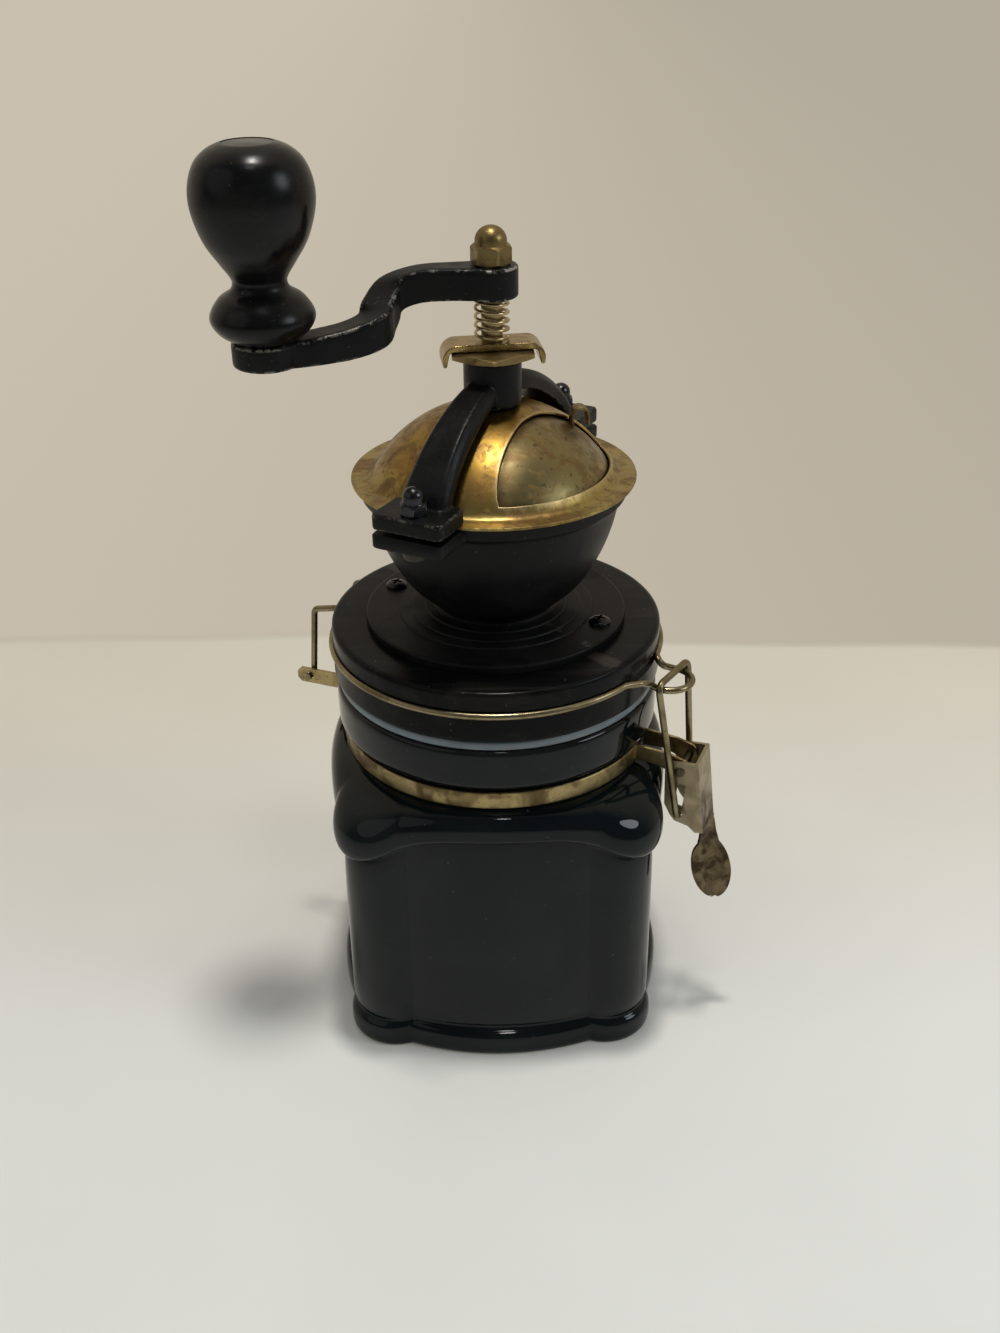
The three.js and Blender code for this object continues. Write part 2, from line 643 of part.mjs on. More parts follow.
// Shaft: round through the bearings, square in the crank's hub, threaded for the nut above it
function shaftGeometry() {
  const nutRoom = HUB.top + ACORN_LARGE.hexHeight + 1;
  const rod = turned([
    [0, SHAFT_BOTTOM],
    [SHAFT_RADIUS - 0.5, SHAFT_BOTTOM],
    [SHAFT_RADIUS, SHAFT_BOTTOM + 0.5],
    [SHAFT_RADIUS, HUB_BOTTOM - GAP],
    [THREAD_RADIUS - 0.1, HUB_BOTTOM - GAP],
    [THREAD_RADIUS - 0.1, HUB.top],
    [THREAD_RADIUS, HUB.top],
    [THREAD_RADIUS, nutRoom - 0.5],
    [THREAD_RADIUS - 0.5, nutRoom],
    [0, nutRoom],
  ], SMALL_ROUND);
  const drive = new THREE.BoxGeometry(SQUARE, SQUARE, HUB.height - 0.2);
  drive.translate(0, 0, (HUB_BOTTOM + HUB.top) / 2);
  return geometryOf(solid(rod).add(solid(drive)));
}
place("shaft", shaftGeometry(), steel, crankFrame);

// Dome: a spun brass shell with a flange, a middle hole for the bridge and an opening for beans
const FLANGE_TOP = BOWL_RIM + DOME.thick + 0.2;

// Height of a sphere about the dome's centre at a distance from the axis.
const sphereHeight = (sphere, r) => DOME_CENTRE + Math.sqrt(sphere ** 2 - r ** 2);

// Profile of a spherical cap's outer or inner side, from one radius to another.
function capProfile(sphere, from, to, steps) {
  const a = Math.asin(from / sphere);
  const b = Math.asin(to / sphere);
  const points = [];
  for (let i = 0; i <= steps; i++) {
    const angle = THREE.MathUtils.lerp(a, b, i / steps);
    points.push([sphere * Math.sin(angle), DOME_CENTRE + sphere * Math.cos(angle)]);
  }
  return points;
}

// Plan of the opening: a segment whose inner edge rounds into its two straight sides.
function sectorOutline(halfAngle, inner, outer) {
  const steps = 12;
  const outline = [];
  for (let i = 0; i <= steps; i++) {
    const share = -1 + (2 * i) / steps;
    const a = radians(share * halfAngle * 0.985);
    outline.push([outer * Math.cos(a), outer * Math.sin(a)]);
  }
  for (let i = 0; i <= steps; i++) {
    const share = Math.cos((i / steps) * Math.PI);
    const r = inner + (outer - 1.5 - inner) * (1 - Math.sqrt(1 - share ** 4));
    const a = radians(share * halfAngle);
    outline.push([r * Math.cos(a), r * Math.sin(a)]);
  }
  return outline;
}

function domeGeometry() {
  const innerSphere = DOME.sphere - DOME.thick;
  const baseRadius = Math.sqrt(DOME.sphere ** 2 - (FLANGE_TOP - DOME_CENTRE) ** 2);
  const bottom = FLANGE_TOP - DOME.thick;
  const innerBase = baseRadius - DOME.thick;
  const middle = BOSS.spigotRadius + GAP;
  const profile = [
    [innerBase + 0.1, bottom],
    [DOME.flangeRadius, bottom],
    [DOME.flangeRadius, FLANGE_TOP],
    [baseRadius + 0.9, FLANGE_TOP],
    ...capProfile(DOME.sphere, middle, baseRadius - 0.6, 7).reverse(),
    ...capProfile(innerSphere, middle, innerBase - 0.1, 7),
  ];
  const outline = sectorOutline(OPENING.halfAngle, OPENING.inner, OPENING.outer);
  const hole = plate(outline, BOWL_RIM, DOME.crown + 5);
  hole.rotateZ(radians(OPENING.azimuth));
  return geometryOf(solid(turned(profile)).subtract(solid(hole)));
}
place("dome_cover", domeGeometry(), brass);

// Door: a leaf of sheet brass that turns about the shaft just under the dome
function doorGeometry() {
  const outerSphere = DOME.sphere - DOME.thick - GAP - 0.1;
  const innerSphere = outerSphere - DOOR.thick;
  const middle = BOSS.spigotRadius + GAP;
  const shell = turned([
    ...capProfile(outerSphere, middle, DOOR.outer, 7).reverse(),
    ...capProfile(innerSphere, middle, DOOR.outer - 0.3, 7),
  ]);
  const outline = sectorOutline(DOOR.halfAngle, DOOR.hubRadius - 2, DOOR.outer + 4);
  const leaf = plate(outline, BOWL_RIM, DOME.crown + 5);
  const hub = cylinder(DOOR.hubRadius, BOWL_RIM, DOME.crown + 5, 32);
  let body = solid(shell).intersect(solid(leaf).add(solid(hub)));
  const { tabInner, tabOuter, tabWidth, tabTop, thick } = DOOR;
  const round = (tabOuter - tabInner) / 2;
  const middleX = tabInner + round;
  const foot = sphereHeight(innerSphere, tabInner) + 0.4;
  const lip = sphereHeight(DOME.sphere, tabOuter - thick) + 2;
  const tab = uprightPlate([
    [tabInner + thick, foot],
    ...arcPoints(middleX, tabTop - round, round - thick, 180, 0, 6),
    [tabOuter - thick, lip],
    [tabOuter, lip],
    ...arcPoints(middleX, tabTop - round, round, 0, 180, 8),
    [tabInner, foot],
  ].reverse(), -tabWidth / 2, tabWidth / 2);
  tab.rotateZ(radians(DOOR.tabTurn));
  body = body.add(solid(tab));
  return geometryOf(body.rotate([0, 0, OPENING.azimuth]));
}
place("hopper_door", doorGeometry(), brass);

// Bridge: a cast yoke over the dome, with a boss for the shaft and a foot on each ear
const BRIDGE_FOOT = FLANGE_TOP + 0.1;
const FOOT_TOP = BRIDGE_FOOT + FOOT_THICK;
const BOSS_BOTTOM = DOME.crown + GAP;
const SPIGOT_BOTTOM = DOME.crown - 7;

function bridgeGeometry() {
  const bushRadius = SHAFT_RADIUS + 2.2;
  const boss = turned([
    [bushRadius, SPIGOT_BOTTOM],
    [BOSS.spigotRadius, SPIGOT_BOTTOM],
    [BOSS.spigotRadius, BOSS_BOTTOM],
    [BOSS.radius, BOSS_BOTTOM],
    [BOSS.radius, BOSS.top - 0.6],
    [BOSS.radius - 0.6, BOSS.top],
    [bushRadius, BOSS.top],
  ], 28);
  let body = solid(boss);
  const keepOut = solid(cylinder(bushRadius, SPIGOT_BOTTOM - 1, BOSS.top + 1, 28));
  for (const turn of [0, 180]) {
    const foot = plate(earOutline(EAR.inner), BRIDGE_FOOT, FOOT_TOP);
    const hole = cylinder(EAR_BOLT_RADIUS + GAP, BRIDGE_FOOT - 1, FOOT_TOP + 1, 12);
    hole.translate(EAR.boltCircle, 0, 0);
    const side = solid(foot).add(solid(bridgeArm())).subtract(solid(hole));
    body = body.add(side.rotate([0, 0, turn]).subtract(keepOut));
  }
  return geometryOf(body);
}

// One arm: it leaves the boss level and bends down over the dome to the foot, widening on the way.
function bridgeArm() {
  const steps = 9;
  const rings = [];
  const outerRadius = EAR.inner + 3.4;
  const low = BRIDGE_FOOT + 1.2;
  const high = BOSS.armTop;
  for (let i = 0; i <= steps; i++) {
    const share = i / steps;
    const a = share * (Math.PI / 2);
    const bend = 1.55;
    const x = THREE.MathUtils.lerp(BOSS.spigotRadius - 1, outerRadius, Math.sin(a) ** (2 / bend));
    const z = THREE.MathUtils.lerp(low, high, Math.cos(a) ** (2 / bend));
    const nx = Math.sin(a) ** 1.2;
    const nz = Math.cos(a) ** 1.2;
    const length = Math.hypot(nx, nz);
    const half = THREE.MathUtils.lerp(4.6, 7.6, share);
    const thick = THREE.MathUtils.lerp(2.9, 2.4, share);
    const ring = [[-half, -1], [half, -1], [half, 0.2], [half - 1.8, 1], [-half + 1.8, 1], [-half, 0.2]];
    rings.push(ring.map(([y, t]) => at(x + (t * thick * nx) / length, y, z + (t * thick * nz) / length)));
  }
  return loft(rings);
}
place("bridge", bridgeGeometry(), iron, bridgeFrame);

function bushGeometry() {
  const outer = SHAFT_RADIUS + 2.2 - GAP;
  const bore = SHAFT_RADIUS + GAP;
  return turned([
    [bore, SPIGOT_BOTTOM],
    [outer, SPIGOT_BOTTOM],
    [outer, BOSS.top],
    [bore, BOSS.top],
  ], 24);
}
place("shaft_bush", bushGeometry(), brass, bridgeFrame);

// Washer on the boss's spigot, which keeps the door up under the dome
function washerGeometry() {
  const top = sphereHeight(DOME.sphere - DOME.thick - DOOR.thick - 2 * GAP, DOOR.hubRadius) - GAP;
  const inner = BOSS.spigotRadius + 0.1;
  return turned([
    [inner, top - 1.2],
    [DOOR.hubRadius, top - 1.2],
    [DOOR.hubRadius, top],
    [inner, top],
  ], 24);
}
place("door_washer", washerGeometry(), steel);

// Bolts through the ears, each with a domed nut on top
function acorn({ across, hexHeight, domeRadius, height }, boreRadius, bottom) {
  const dome = turned([
    [0, bottom + hexHeight - 1],
    [domeRadius, bottom + hexHeight - 1],
    [domeRadius, bottom + height - domeRadius],
    [domeRadius * 0.87, bottom + height - domeRadius * 0.5],
    [domeRadius * 0.5, bottom + height - domeRadius * 0.13],
    [0, bottom + height],
  ], 16);
  const crown = turned([
    [0, bottom],
    [across / 2, bottom],
    [across / Math.sqrt(3) + 0.05, bottom + 0.7],
    [across / Math.sqrt(3) + 0.05, bottom + hexHeight - 0.7],
    [across / 2 - 0.1, bottom + hexHeight],
    [0, bottom + hexHeight],
  ], SMALL_ROUND);
  const bore = solid(cylinder(boreRadius, bottom - 1, bottom + hexHeight + 1.3, 12));
  const hex = solid(hexagon(across, bottom, bottom + hexHeight)).intersect(solid(crown));
  return geometryOf(hex.add(solid(dome)).subtract(bore));
}

["front", "rear"].forEach((end, i) => {
  const x = EAR.boltCircle * (i === 0 ? 1 : -1);
  const headBottom = BOWL_RIM - EAR.thick - 2.6;
  const bolt = turned([
    [0, headBottom],
    [3.2, headBottom],
    [3.5, headBottom + 0.6],
    [3.5, headBottom + 2.6],
    [EAR_BOLT_RADIUS, headBottom + 2.6],
    [EAR_BOLT_RADIUS, FOOT_TOP + ACORN_SMALL.hexHeight + 0.6],
    [0, FOOT_TOP + ACORN_SMALL.hexHeight + 0.6],
  ], 16);
  place(`bridge_bolt_${end}`, bolt.translate(x, 0, 0), darkSteel, bridgeFrame);
  const nut = acorn(ACORN_SMALL, EAR_BOLT_RADIUS + GAP, FOOT_TOP).translate(x, 0, 0);
  place(`bridge_nut_${end}`, nut, darkSteel, bridgeFrame);
});

// Adjuster: a thin hexagonal nut on the shaft, held by the two bent wings of the plate above it
function adjusterGeometry() {
  const hex = hexagon(ADJUSTER.across, ADJUSTER_BOTTOM, ADJUSTER_TOP);
  const bore = cylinder(SHAFT_RADIUS + GAP, ADJUSTER_BOTTOM - 1, ADJUSTER_TOP + 1);
  return geometryOf(solid(hex).subtract(solid(bore)));
}
place("adjusting_nut", adjusterGeometry(), brass).rotation.z = radians(ADJUSTER.turn);

// Points of an arc from one angle to another, in degrees.
function arcPoints(x, z, radius, from, to, steps) {
  const points = [];
  for (let i = 0; i <= steps; i++) {
    const a = radians(THREE.MathUtils.lerp(from, to, i / steps));
    points.push([x + radius * Math.cos(a), z + radius * Math.sin(a)]);
  }
  return points;
}

function lockPlateGeometry() {
  const { halfSpan, thick, halfWidth, bend } = LOCK;
  const tip = ADJUSTER_TOP - LOCK.tipDrop;
  const x = halfSpan - bend;
  const z = LOCK_TOP - bend;
  const hollow = 1.2;
  const half = [
    ...arcPoints(halfSpan - thick - hollow, LOCK_BOTTOM - hollow, hollow, 90, 0, 3),
    [halfSpan - thick + 0.5, tip + 0.8],
    [halfSpan - 0.9, tip],
    [halfSpan - 0.1, tip + 0.5],
    ...arcPoints(x, z, bend, 0, 90, 4),
  ];
  const mirrored = half.map(([px, pz]) => [-px, pz]).reverse();
  const strip = uprightPlate([...half, ...mirrored], -halfWidth, halfWidth);
  const bore = cylinder(SHAFT_RADIUS + GAP, LOCK_BOTTOM - 1, LOCK_TOP + 1);
  return geometryOf(solid(strip).subtract(solid(bore)));
}
place("lock_plate", lockPlateGeometry(), brass).rotation.z = radians(LOCK.turn);

// Spring: one unbroken coil between the lock plate and the crank's hub
const SPRING_BOTTOM = LOCK_TOP + GAP;
const SPRING_TOP = HUB_BOTTOM - GAP;

function springStations() {
  const { outer, wire, turns } = SPRING;
  const radius = outer - wire;
  const perTurn = 8;
  const low = SPRING_BOTTOM + wire;
  const high = SPRING_TOP - wire;
  const stations = [];
  const total = Math.round(turns * perTurn);
  for (let i = 0; i <= total; i++) {
    const a = (i / perTurn) * 2 * Math.PI;
    const z = THREE.MathUtils.lerp(low, high, i / total);
    stations.push(at(radius * Math.cos(a), radius * Math.sin(a), z));
  }
  const lead = (p, angle, way) => {
    const step = way * 2 * wire;
    return p.clone().add(at(-step * Math.sin(angle), step * Math.cos(angle), 0));
  };
  stations.unshift(lead(stations[0], 0, -1));
  stations.push(lead(stations.at(-1), turns * 2 * Math.PI, 1));
  return stations;
}

// Least gap of a coil to itself, between stations that are more than half a turn apart.
function leastGap(stations, radius, apart) {
  let least = Infinity;
  for (let i = 0; i < stations.length; i++) {
    for (let j = i + apart; j < stations.length; j++) {
      least = Math.min(least, stations[i].distanceTo(stations[j]) - 2 * radius);
    }
  }
  return least;
}
const springCurve = springStations();
console.log(`least gap of the spring to itself: ${leastGap(springCurve, SPRING.wire, 5).toFixed(2)} mm`);
place("lock_spring", tube(springCurve, SPRING.wire, 5), brass);

// Crank: an S-curved cast arm that drops from the hub to the handle. Each station is
// [share of the reach, sideways, share of the drop, width, height].
const CRANK_LINE = [
  [0.03, 0, 0, 12, 8.8],
  [0.16, -2.6, 0, 9.6, 8.8],
  [0.3, -6.4, 0.05, 9, 9],
  [0.41, -7.4, 0.2, 9, 9.4],
  [0.485, -3.8, 0.47, 9.4, 9.6],
  [0.54, 0.4, 0.69, 9.6, 9.2],
  [0.645, 1.6, 0.84, 9.4, 8.6],
  [0.77, 1.2, 0.94, 10, 7.8],
  [0.86, 0.7, 1, 11.4, 7],
  [0.96, 0.2, 1, 13, 6.8],
];

function crankArmGeometry() {
  const centre = new THREE.CatmullRomCurve3(
    CRANK_LINE.map(([share, side, drop]) => at(share * CRANK.reach, side, HUB.top - drop * CRANK.drop)));
  const section = new THREE.CatmullRomCurve3(CRANK_LINE.map(([, , , width, height]) => at(width, height, 0)));
  const steps = 20;
  const rings = [];
  for (let i = 0; i <= steps; i++) {
    const p = centre.getPoint(i / steps);
    p.z = Math.min(p.z, HUB.top);
    const along = centre.getTangent(i / steps).setZ(0).normalize();
    const side = at(-along.y, along.x, 0);
    const { x: width, y: height } = section.getPoint(i / steps);
    const w = width / 2;
    const e = 1.1;
    const outline = [
      [-w, -height + e], [-w + e, -height], [w - e, -height], [w, -height + e],
      [w, -e], [w - e, 0], [-w + e, 0], [-w, -e],
    ];
    rings.push(outline.map(([s, z]) => p.clone().addScaledVector(side, s).add(at(0, 0, z))));
  }
  const endTop = HUB.top - CRANK.drop;
  const hub = solid(cylinder(HUB.radius, HUB_BOTTOM, HUB.top, 28));
  const eye = cylinder(CRANK.endRadius, endTop - CRANK.endHeight, endTop, 28);
  const end = solid(eye.translate(CRANK.reach, 0, 0));
  const square = SQUARE + 2 * GAP;
  const socket = new THREE.BoxGeometry(square, square, HUB.height + 4);
  const drive = solid(socket.translate(0, 0, HUB.top - HUB.height / 2));
  const bore = cylinder(KNOB_SPINDLE_RADIUS + GAP, endTop - 20, endTop + 5, 16);
  const hole = solid(bore.translate(CRANK.reach, 0, 0));
  return geometryOf(solid(loft(rings)).add(hub).add(end).subtract(drive).subtract(hole));
}
place("crank_arm", crankArmGeometry(), iron, crankFrame);
place("crank_nut", acorn(ACORN_LARGE, THREAD_RADIUS + GAP, HUB.top), brass, crankFrame);

// Knob: a turned handle that spins on a spindle fixed in the arm
function knobSpindleGeometry() {
  const bottom = HUB.top - CRANK.drop - CRANK.endHeight;
  const top = KNOB_BOTTOM + KNOB.bore - 1;
  return turned([
    [0, bottom],
    [KNOB_SPINDLE_RADIUS, bottom],
    [KNOB_SPINDLE_RADIUS, top - 0.5],
    [KNOB_SPINDLE_RADIUS - 0.5, top],
    [0, top],
  ], 16).translate(CRANK.reach, 0, 0);
}
place("knob_spindle", knobSpindleGeometry(), steel, crankFrame);

// Outline of the handle, [radius, share of the height]: foot, lower bulge, neck, egg, flat crown.
const KNOB_LINE = [
  [8.6, 0], [11.9, 0.046], [13.7, 0.105], [13.3, 0.158], [11, 0.222], [8, 0.262],
  [7.1, 0.3], [7.6, 0.335], [9.8, 0.402], [13.05, 0.505], [15.1, 0.617], [15.95, 0.722],
  [15.3, 0.82], [13.3, 0.912], [10.4, 0.965], [6, 0.997],
];

function knobGeometry() {
  const line = KNOB_LINE.map(([r, share]) => new THREE.Vector2(r, share * KNOB.height));
  const spline = new THREE.SplineCurve(line);
  const outline = spline.getPoints(18).map((p) => [p.x, KNOB_BOTTOM + p.y]);
  const bore = KNOB_SPINDLE_RADIUS + GAP;
  return turned([
    ...outline,
    [0, KNOB_BOTTOM + KNOB.height],
    [0, KNOB_BOTTOM + KNOB.bore],
    [bore, KNOB_BOTTOM + KNOB.bore],
    [bore, KNOB_BOTTOM],
    outline[0],
  ], 24).translate(CRANK.reach, 0, 0);
}
place("knob", knobGeometry(), glaze, crankFrame);

// Neck band: a strap round the jar's neck, with two ears that carry the lever
const BAND_INNER = JAR.neckRadius + GAP;
const BAND_OUTER = BAND_INNER + BAND.thick;
const EAR_OUTER = LEVER.halfWidth - SHEET - GAP; // outer face of an ear, inside the lever's cheeks

function bandGeometry() {
  const ring = solid(turned([
    [BAND_INNER, BAND.bottom],
    [BAND_OUTER, BAND.bottom],
    [BAND_OUTER, BAND.bottom + BAND.height],
    [BAND_INNER, BAND.bottom + BAND.height],
  ]));
  const top = BAND.bottom + BAND.height;
  const { pivotX: px, pivotZ: pz } = LEVER;
  const ear = [
    [BAND_INNER + 0.4, BAND.bottom],
    [px - 8, BAND.bottom],
    [px - 4.6, pz - 1.2],
    [px - 1.4, pz - 3.2],
    [px + 1.4, pz - 2.8],
    [px + 2.6, pz - 0.4],
    [px + 1.8, pz + 3],
    [px - 4, top - 1],
    [BAND_INNER + 0.4, top],
  ];
  let body = ring;
  for (const side of [-1, 1]) {
    const faces = [side * EAR_OUTER, side * (EAR_OUTER - SHEET)].sort((a, b) => a - b);
    body = body.add(solid(uprightPlate(ear, ...faces)));
  }
  const split = new THREE.BoxGeometry(4, 2 * (EAR_OUTER - SHEET), BAND.height + 4);
  split.translate(BAND_INNER + 0.6, 0, BAND.bottom + BAND.height / 2);
  const hole = crossRod(PIN_RADIUS + GAP, px, pz, -10, 10);
  return geometryOf(body.subtract(solid(split)).subtract(solid(hole)));
}
place("neck_band", bandGeometry(), brass, closure);

// Hinge bracket: a saddle on the band, its two ends folded out into tabs that hold the bail's legs
function hingeBracketGeometry() {
  const inner = BAND_OUTER + GAP;
  const bottom = BAND.bottom;
  const top = BAND.bottom + BAND.height + 0.9;
  const tabInner = WIRE + GAP;
  const saddle = solid(turned([
    [inner, bottom],
    [inner + SHEET, bottom],
    [inner + SHEET, top],
    [inner, top],
  ]));
  const keep = new THREE.BoxGeometry(20, 2 * SADDLE_HALF, 40).translate(-inner, 0, bottom);
  const reach = BAIL.hingeReach;
  const clearOfRim = JAR.rimRadius + 0.8;
  const tab = [
    [-inner - 0.1, bottom],
    [-inner - 0.1, top],
    [-clearOfRim, top],
    [-clearOfRim - 0.4, HINGE_HEIGHT + 2.6],
    [-reach - 3.5, HINGE_HEIGHT + 2.6],
    [-reach - 4.9, HINGE_HEIGHT + 1.2],
    [-reach - 4.9, HINGE_HEIGHT - 1.2],
    [-reach - 3.5, HINGE_HEIGHT - 2.6],
    [-clearOfRim - 3, HINGE_HEIGHT - 2.6],
    [-inner - 1.2, bottom],
  ].reverse();
  let body = saddle.intersect(solid(keep));
  for (const side of [-1, 1]) {
    const faces = [side * tabInner, side * (tabInner + SHEET)].sort((a, b) => a - b);
    body = body.add(solid(uprightPlate(tab, ...faces)).rotate([0, 0, -side * BAIL.legAngle]));
  }
  const holeX = -reach * Math.cos(radians(BAIL.legAngle));
  const hole = crossRod(WIRE + GAP, holeX, HINGE_HEIGHT, -20, 20);
  return geometryOf(body.subtract(solid(hole)));
}
place("hinge_bracket", hingeBracketGeometry(), brass, hingeFrame);

// Bail: one wire, from a hinge leg up and round the lid to the nose and back to the other leg. The
// nose hangs below the ring, and its two ends leave the groove at different angles.
function bailGeometry() {
  const { radius, height: z, hingeReach, legReach, legTop, legAngle } = BAIL;
  const { noseHeight, noseCentre, noseRadius } = BAIL;
  const upward = at(0, 0, 1);
  const onLegLine = (reach, height) => {
    return at(-reach * Math.cos(radians(legAngle)), reach * Math.sin(radians(legAngle)), height);
  };
  const foot = onLegLine(hingeReach, HINGE_HEIGHT);
  const legHalf = legReach * Math.sin(radians(legAngle));
  const leg = [
    { at: foot.clone().setY(foot.y + WIRE + 2 * GAP + SHEET + 0.8) },
    { at: foot, bend: 1.6 },
    { at: onLegLine(legReach, legTop), bend: 2.4 },
    { at: at(-radius - 0.4, legHalf, z), bend: 1.6 },
  ];
  const turned = ({ at: point, bend }, side) => {
    const placed = point.clone().setY(side * point.y).applyAxisAngle(upward, radians(HINGE_TURN));
    return { at: placed, bend };
  };
  const ring = (from, to) => {
    const steps = 20;
    const corners = [];
    for (let i = 0; i <= steps; i++) {
      const a = radians(THREE.MathUtils.lerp(from, to, i / steps));
      corners.push({ at: at(radius * Math.cos(a), radius * Math.sin(a), z), bend: 0 });
    }
    return corners;
  };
  const legTurn = THREE.MathUtils.radToDeg(Math.asin((legHalf + 2.2) / radius));
  const nose = [];
  const noseSteps = 9;
  for (let i = 0; i <= noseSteps; i++) {
    const a = radians(THREE.MathUtils.lerp(-105, 95, i / noseSteps));
    const x = noseCentre + noseRadius * Math.cos(a);
    nose.push({ at: at(x, noseRadius * Math.sin(a), noseHeight), bend: 0 });
  }
  return tube(bentStations([
    ...leg.map((corner) => turned(corner, -1)),
    ...ring(HINGE_TURN - 180 + legTurn, -20.5),
    { at: at(radius + 0.8, -2.1 * noseRadius, z - 0.2), bend: 2 },
    { at: at(radius + 1.7, -1.3 * noseRadius, THREE.MathUtils.lerp(noseHeight, z, 0.45)), bend: 2 },
    ...nose,
    { at: at(radius + 2.7, 0.5 * noseRadius, THREE.MathUtils.lerp(noseHeight, z, 0.4)), bend: 1.6 },
    { at: at(radius + 1.7, 0.1 * noseRadius, z - 0.7), bend: 1.3 },
    ...ring(4.2, HINGE_TURN + 180 - legTurn),
    ...leg.map((corner) => turned(corner, 1)).reverse(),
  ]), WIRE);
}
place("bail", bailGeometry(), wireFinish, closure);

// Lever: a folded channel with two cheeks, and a thumb tab twisted out of its outer face
function leverGeometry() {
  const { pivotX: px, pivotZ: pz, topZ, faceX, faceLean, channelBottom: low, halfWidth: half } = LEVER;
  const cheek = [
    [px - 4.8, topZ - 0.6],
    [px - 4.4, LINK.pinZ + 3],
    [LINK.pinX - 2.6, LINK.pinZ - 0.6],
    [LINK.pinX - 1, LINK.pinZ - 2.6],
    [px + 3.4, LINK.pinZ - 3.6],
    [faceX + faceLean - 1.6, low - 0.4],
    [faceX + faceLean + SHEET, low],
    [faceX + SHEET, topZ],
  ];
  const face = [
    [faceX, topZ],
    [faceX + faceLean, low],
    [faceX + faceLean + SHEET, low],
    [faceX + SHEET, topZ],
  ];
  const slot = [
    [px - 0.6, pz - 4.4],
    [px - 1.4, LINK.pinZ + 3.2],
    [px + 1.2, LINK.pinZ + 2.6],
    [px + 2, pz - 4.4],
  ];
  let body = solid(uprightPlate(face, -half, half));
  for (const side of [-1, 1]) {
    const faces = [side * half, side * (half - SHEET)].sort((a, b) => a - b);
    body = body.add(solid(uprightPlate(cheek, ...faces)));
  }
  body = body.subtract(solid(uprightPlate(slot, -half - 1, half + 1)));
  body = body.add(solid(thumbTab(faceX + faceLean, low)));
  const holes = solid(crossRod(PIN_RADIUS + GAP, px, pz, -10, 10))
    .add(solid(crossRod(WIRE + GAP, LINK.pinX, LINK.pinZ, -10, 10)));
  return geometryOf(body.subtract(holes));
}

function thumbTab(x, top) {
  const steps = 10;
  const rings = [];
  const neck = 0.22;
  for (let i = 0; i <= steps; i++) {
    const share = i / steps;
    const z = top + 1 - share * (LEVER.tabLength + 1);
    const turn = radians(LEVER.tabTwist * THREE.MathUtils.smoothstep(share, 0, 0.42));
    const oval = Math.sqrt(Math.max(0.06, 1 - ((share - 0.62) / 0.385) ** 2));
    const narrowing = THREE.MathUtils.smoothstep(share, 0, neck);
    const start = THREE.MathUtils.lerp(LEVER.halfWidth - 0.4, 3.6, narrowing);
    const half = share < neck ? start : Math.max(LEVER.tabHalf * oval, share < 0.5 ? 3.6 : 0);
    const lean = x + SHEET / 2 + 4.2 * share ** 1.2;
    const across = at(Math.sin(turn), Math.cos(turn), 0);
    const normal = at(Math.cos(turn), -Math.sin(turn), 0);
    const ring = [
      [-1, -0.5], [-0.9, -0.62], [0.9, -0.62], [1, -0.5],
      [1, 0.5], [0.9, 0.62], [-0.9, 0.62], [-1, 0.5],
    ];
    rings.push(ring.map(([s, n]) =>
      at(lean, 0, z).addScaledVector(across, s * half).addScaledVector(normal, n)));
  }
  return loft(rings);
}
place("catch_lever", leverGeometry(), wireFinish, closure);

const pinHalf = LEVER.halfWidth + 0.2;
place("catch_pin", crossRod(PIN_RADIUS, LEVER.pivotX, LEVER.pivotZ, -pinHalf, pinHalf), steel, closure);

// Link: a wire loop whose bar hooks over the bail's nose, with its ends turned into the lever's cheeks
function linkGeometry() {
  const { pinX, pinZ, barX, barSkew, barZ, topHalf } = LINK;
  const lowHalf = LEVER.halfWidth + GAP + WIRE;
  const side = (sign) => [
    { at: at(pinX, sign * (LEVER.halfWidth - SHEET - 0.2), pinZ) },
    { at: at(pinX, sign * lowHalf, pinZ), bend: 1.2 },
    { at: at(barX + sign * barSkew, sign * topHalf, barZ), bend: 2.6 },
  ];
  return tube(bentStations([...side(1), ...side(-1).reverse()]), WIRE);
}
place("catch_link", linkGeometry(), wireFinish, closure);

export default grinder;
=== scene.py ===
import json
import math

import bmesh
import bpy
from mathutils import Matrix, Vector
from mathutils.geometry import delaunay_2d_cdt

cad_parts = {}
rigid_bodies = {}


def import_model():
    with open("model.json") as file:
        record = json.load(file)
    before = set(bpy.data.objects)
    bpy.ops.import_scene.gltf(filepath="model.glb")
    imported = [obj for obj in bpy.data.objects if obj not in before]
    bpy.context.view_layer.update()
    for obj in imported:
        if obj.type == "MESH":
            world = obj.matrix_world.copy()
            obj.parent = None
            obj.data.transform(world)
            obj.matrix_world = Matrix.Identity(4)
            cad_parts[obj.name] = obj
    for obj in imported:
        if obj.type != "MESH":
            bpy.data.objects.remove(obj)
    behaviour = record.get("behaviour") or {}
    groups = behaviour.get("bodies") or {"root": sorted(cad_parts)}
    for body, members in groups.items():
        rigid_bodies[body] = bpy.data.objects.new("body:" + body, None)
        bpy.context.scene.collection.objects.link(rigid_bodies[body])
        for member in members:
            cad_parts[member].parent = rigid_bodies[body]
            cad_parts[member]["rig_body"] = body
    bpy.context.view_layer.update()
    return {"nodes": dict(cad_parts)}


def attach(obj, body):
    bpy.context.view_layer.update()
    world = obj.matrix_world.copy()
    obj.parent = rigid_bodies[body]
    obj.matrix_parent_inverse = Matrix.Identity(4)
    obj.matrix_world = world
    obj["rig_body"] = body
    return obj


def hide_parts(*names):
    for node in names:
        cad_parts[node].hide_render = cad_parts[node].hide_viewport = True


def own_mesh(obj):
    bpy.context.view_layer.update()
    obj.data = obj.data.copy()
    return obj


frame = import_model()
cad = frame["nodes"]
scene = bpy.context.scene
scene.view_settings.view_transform = "Standard"

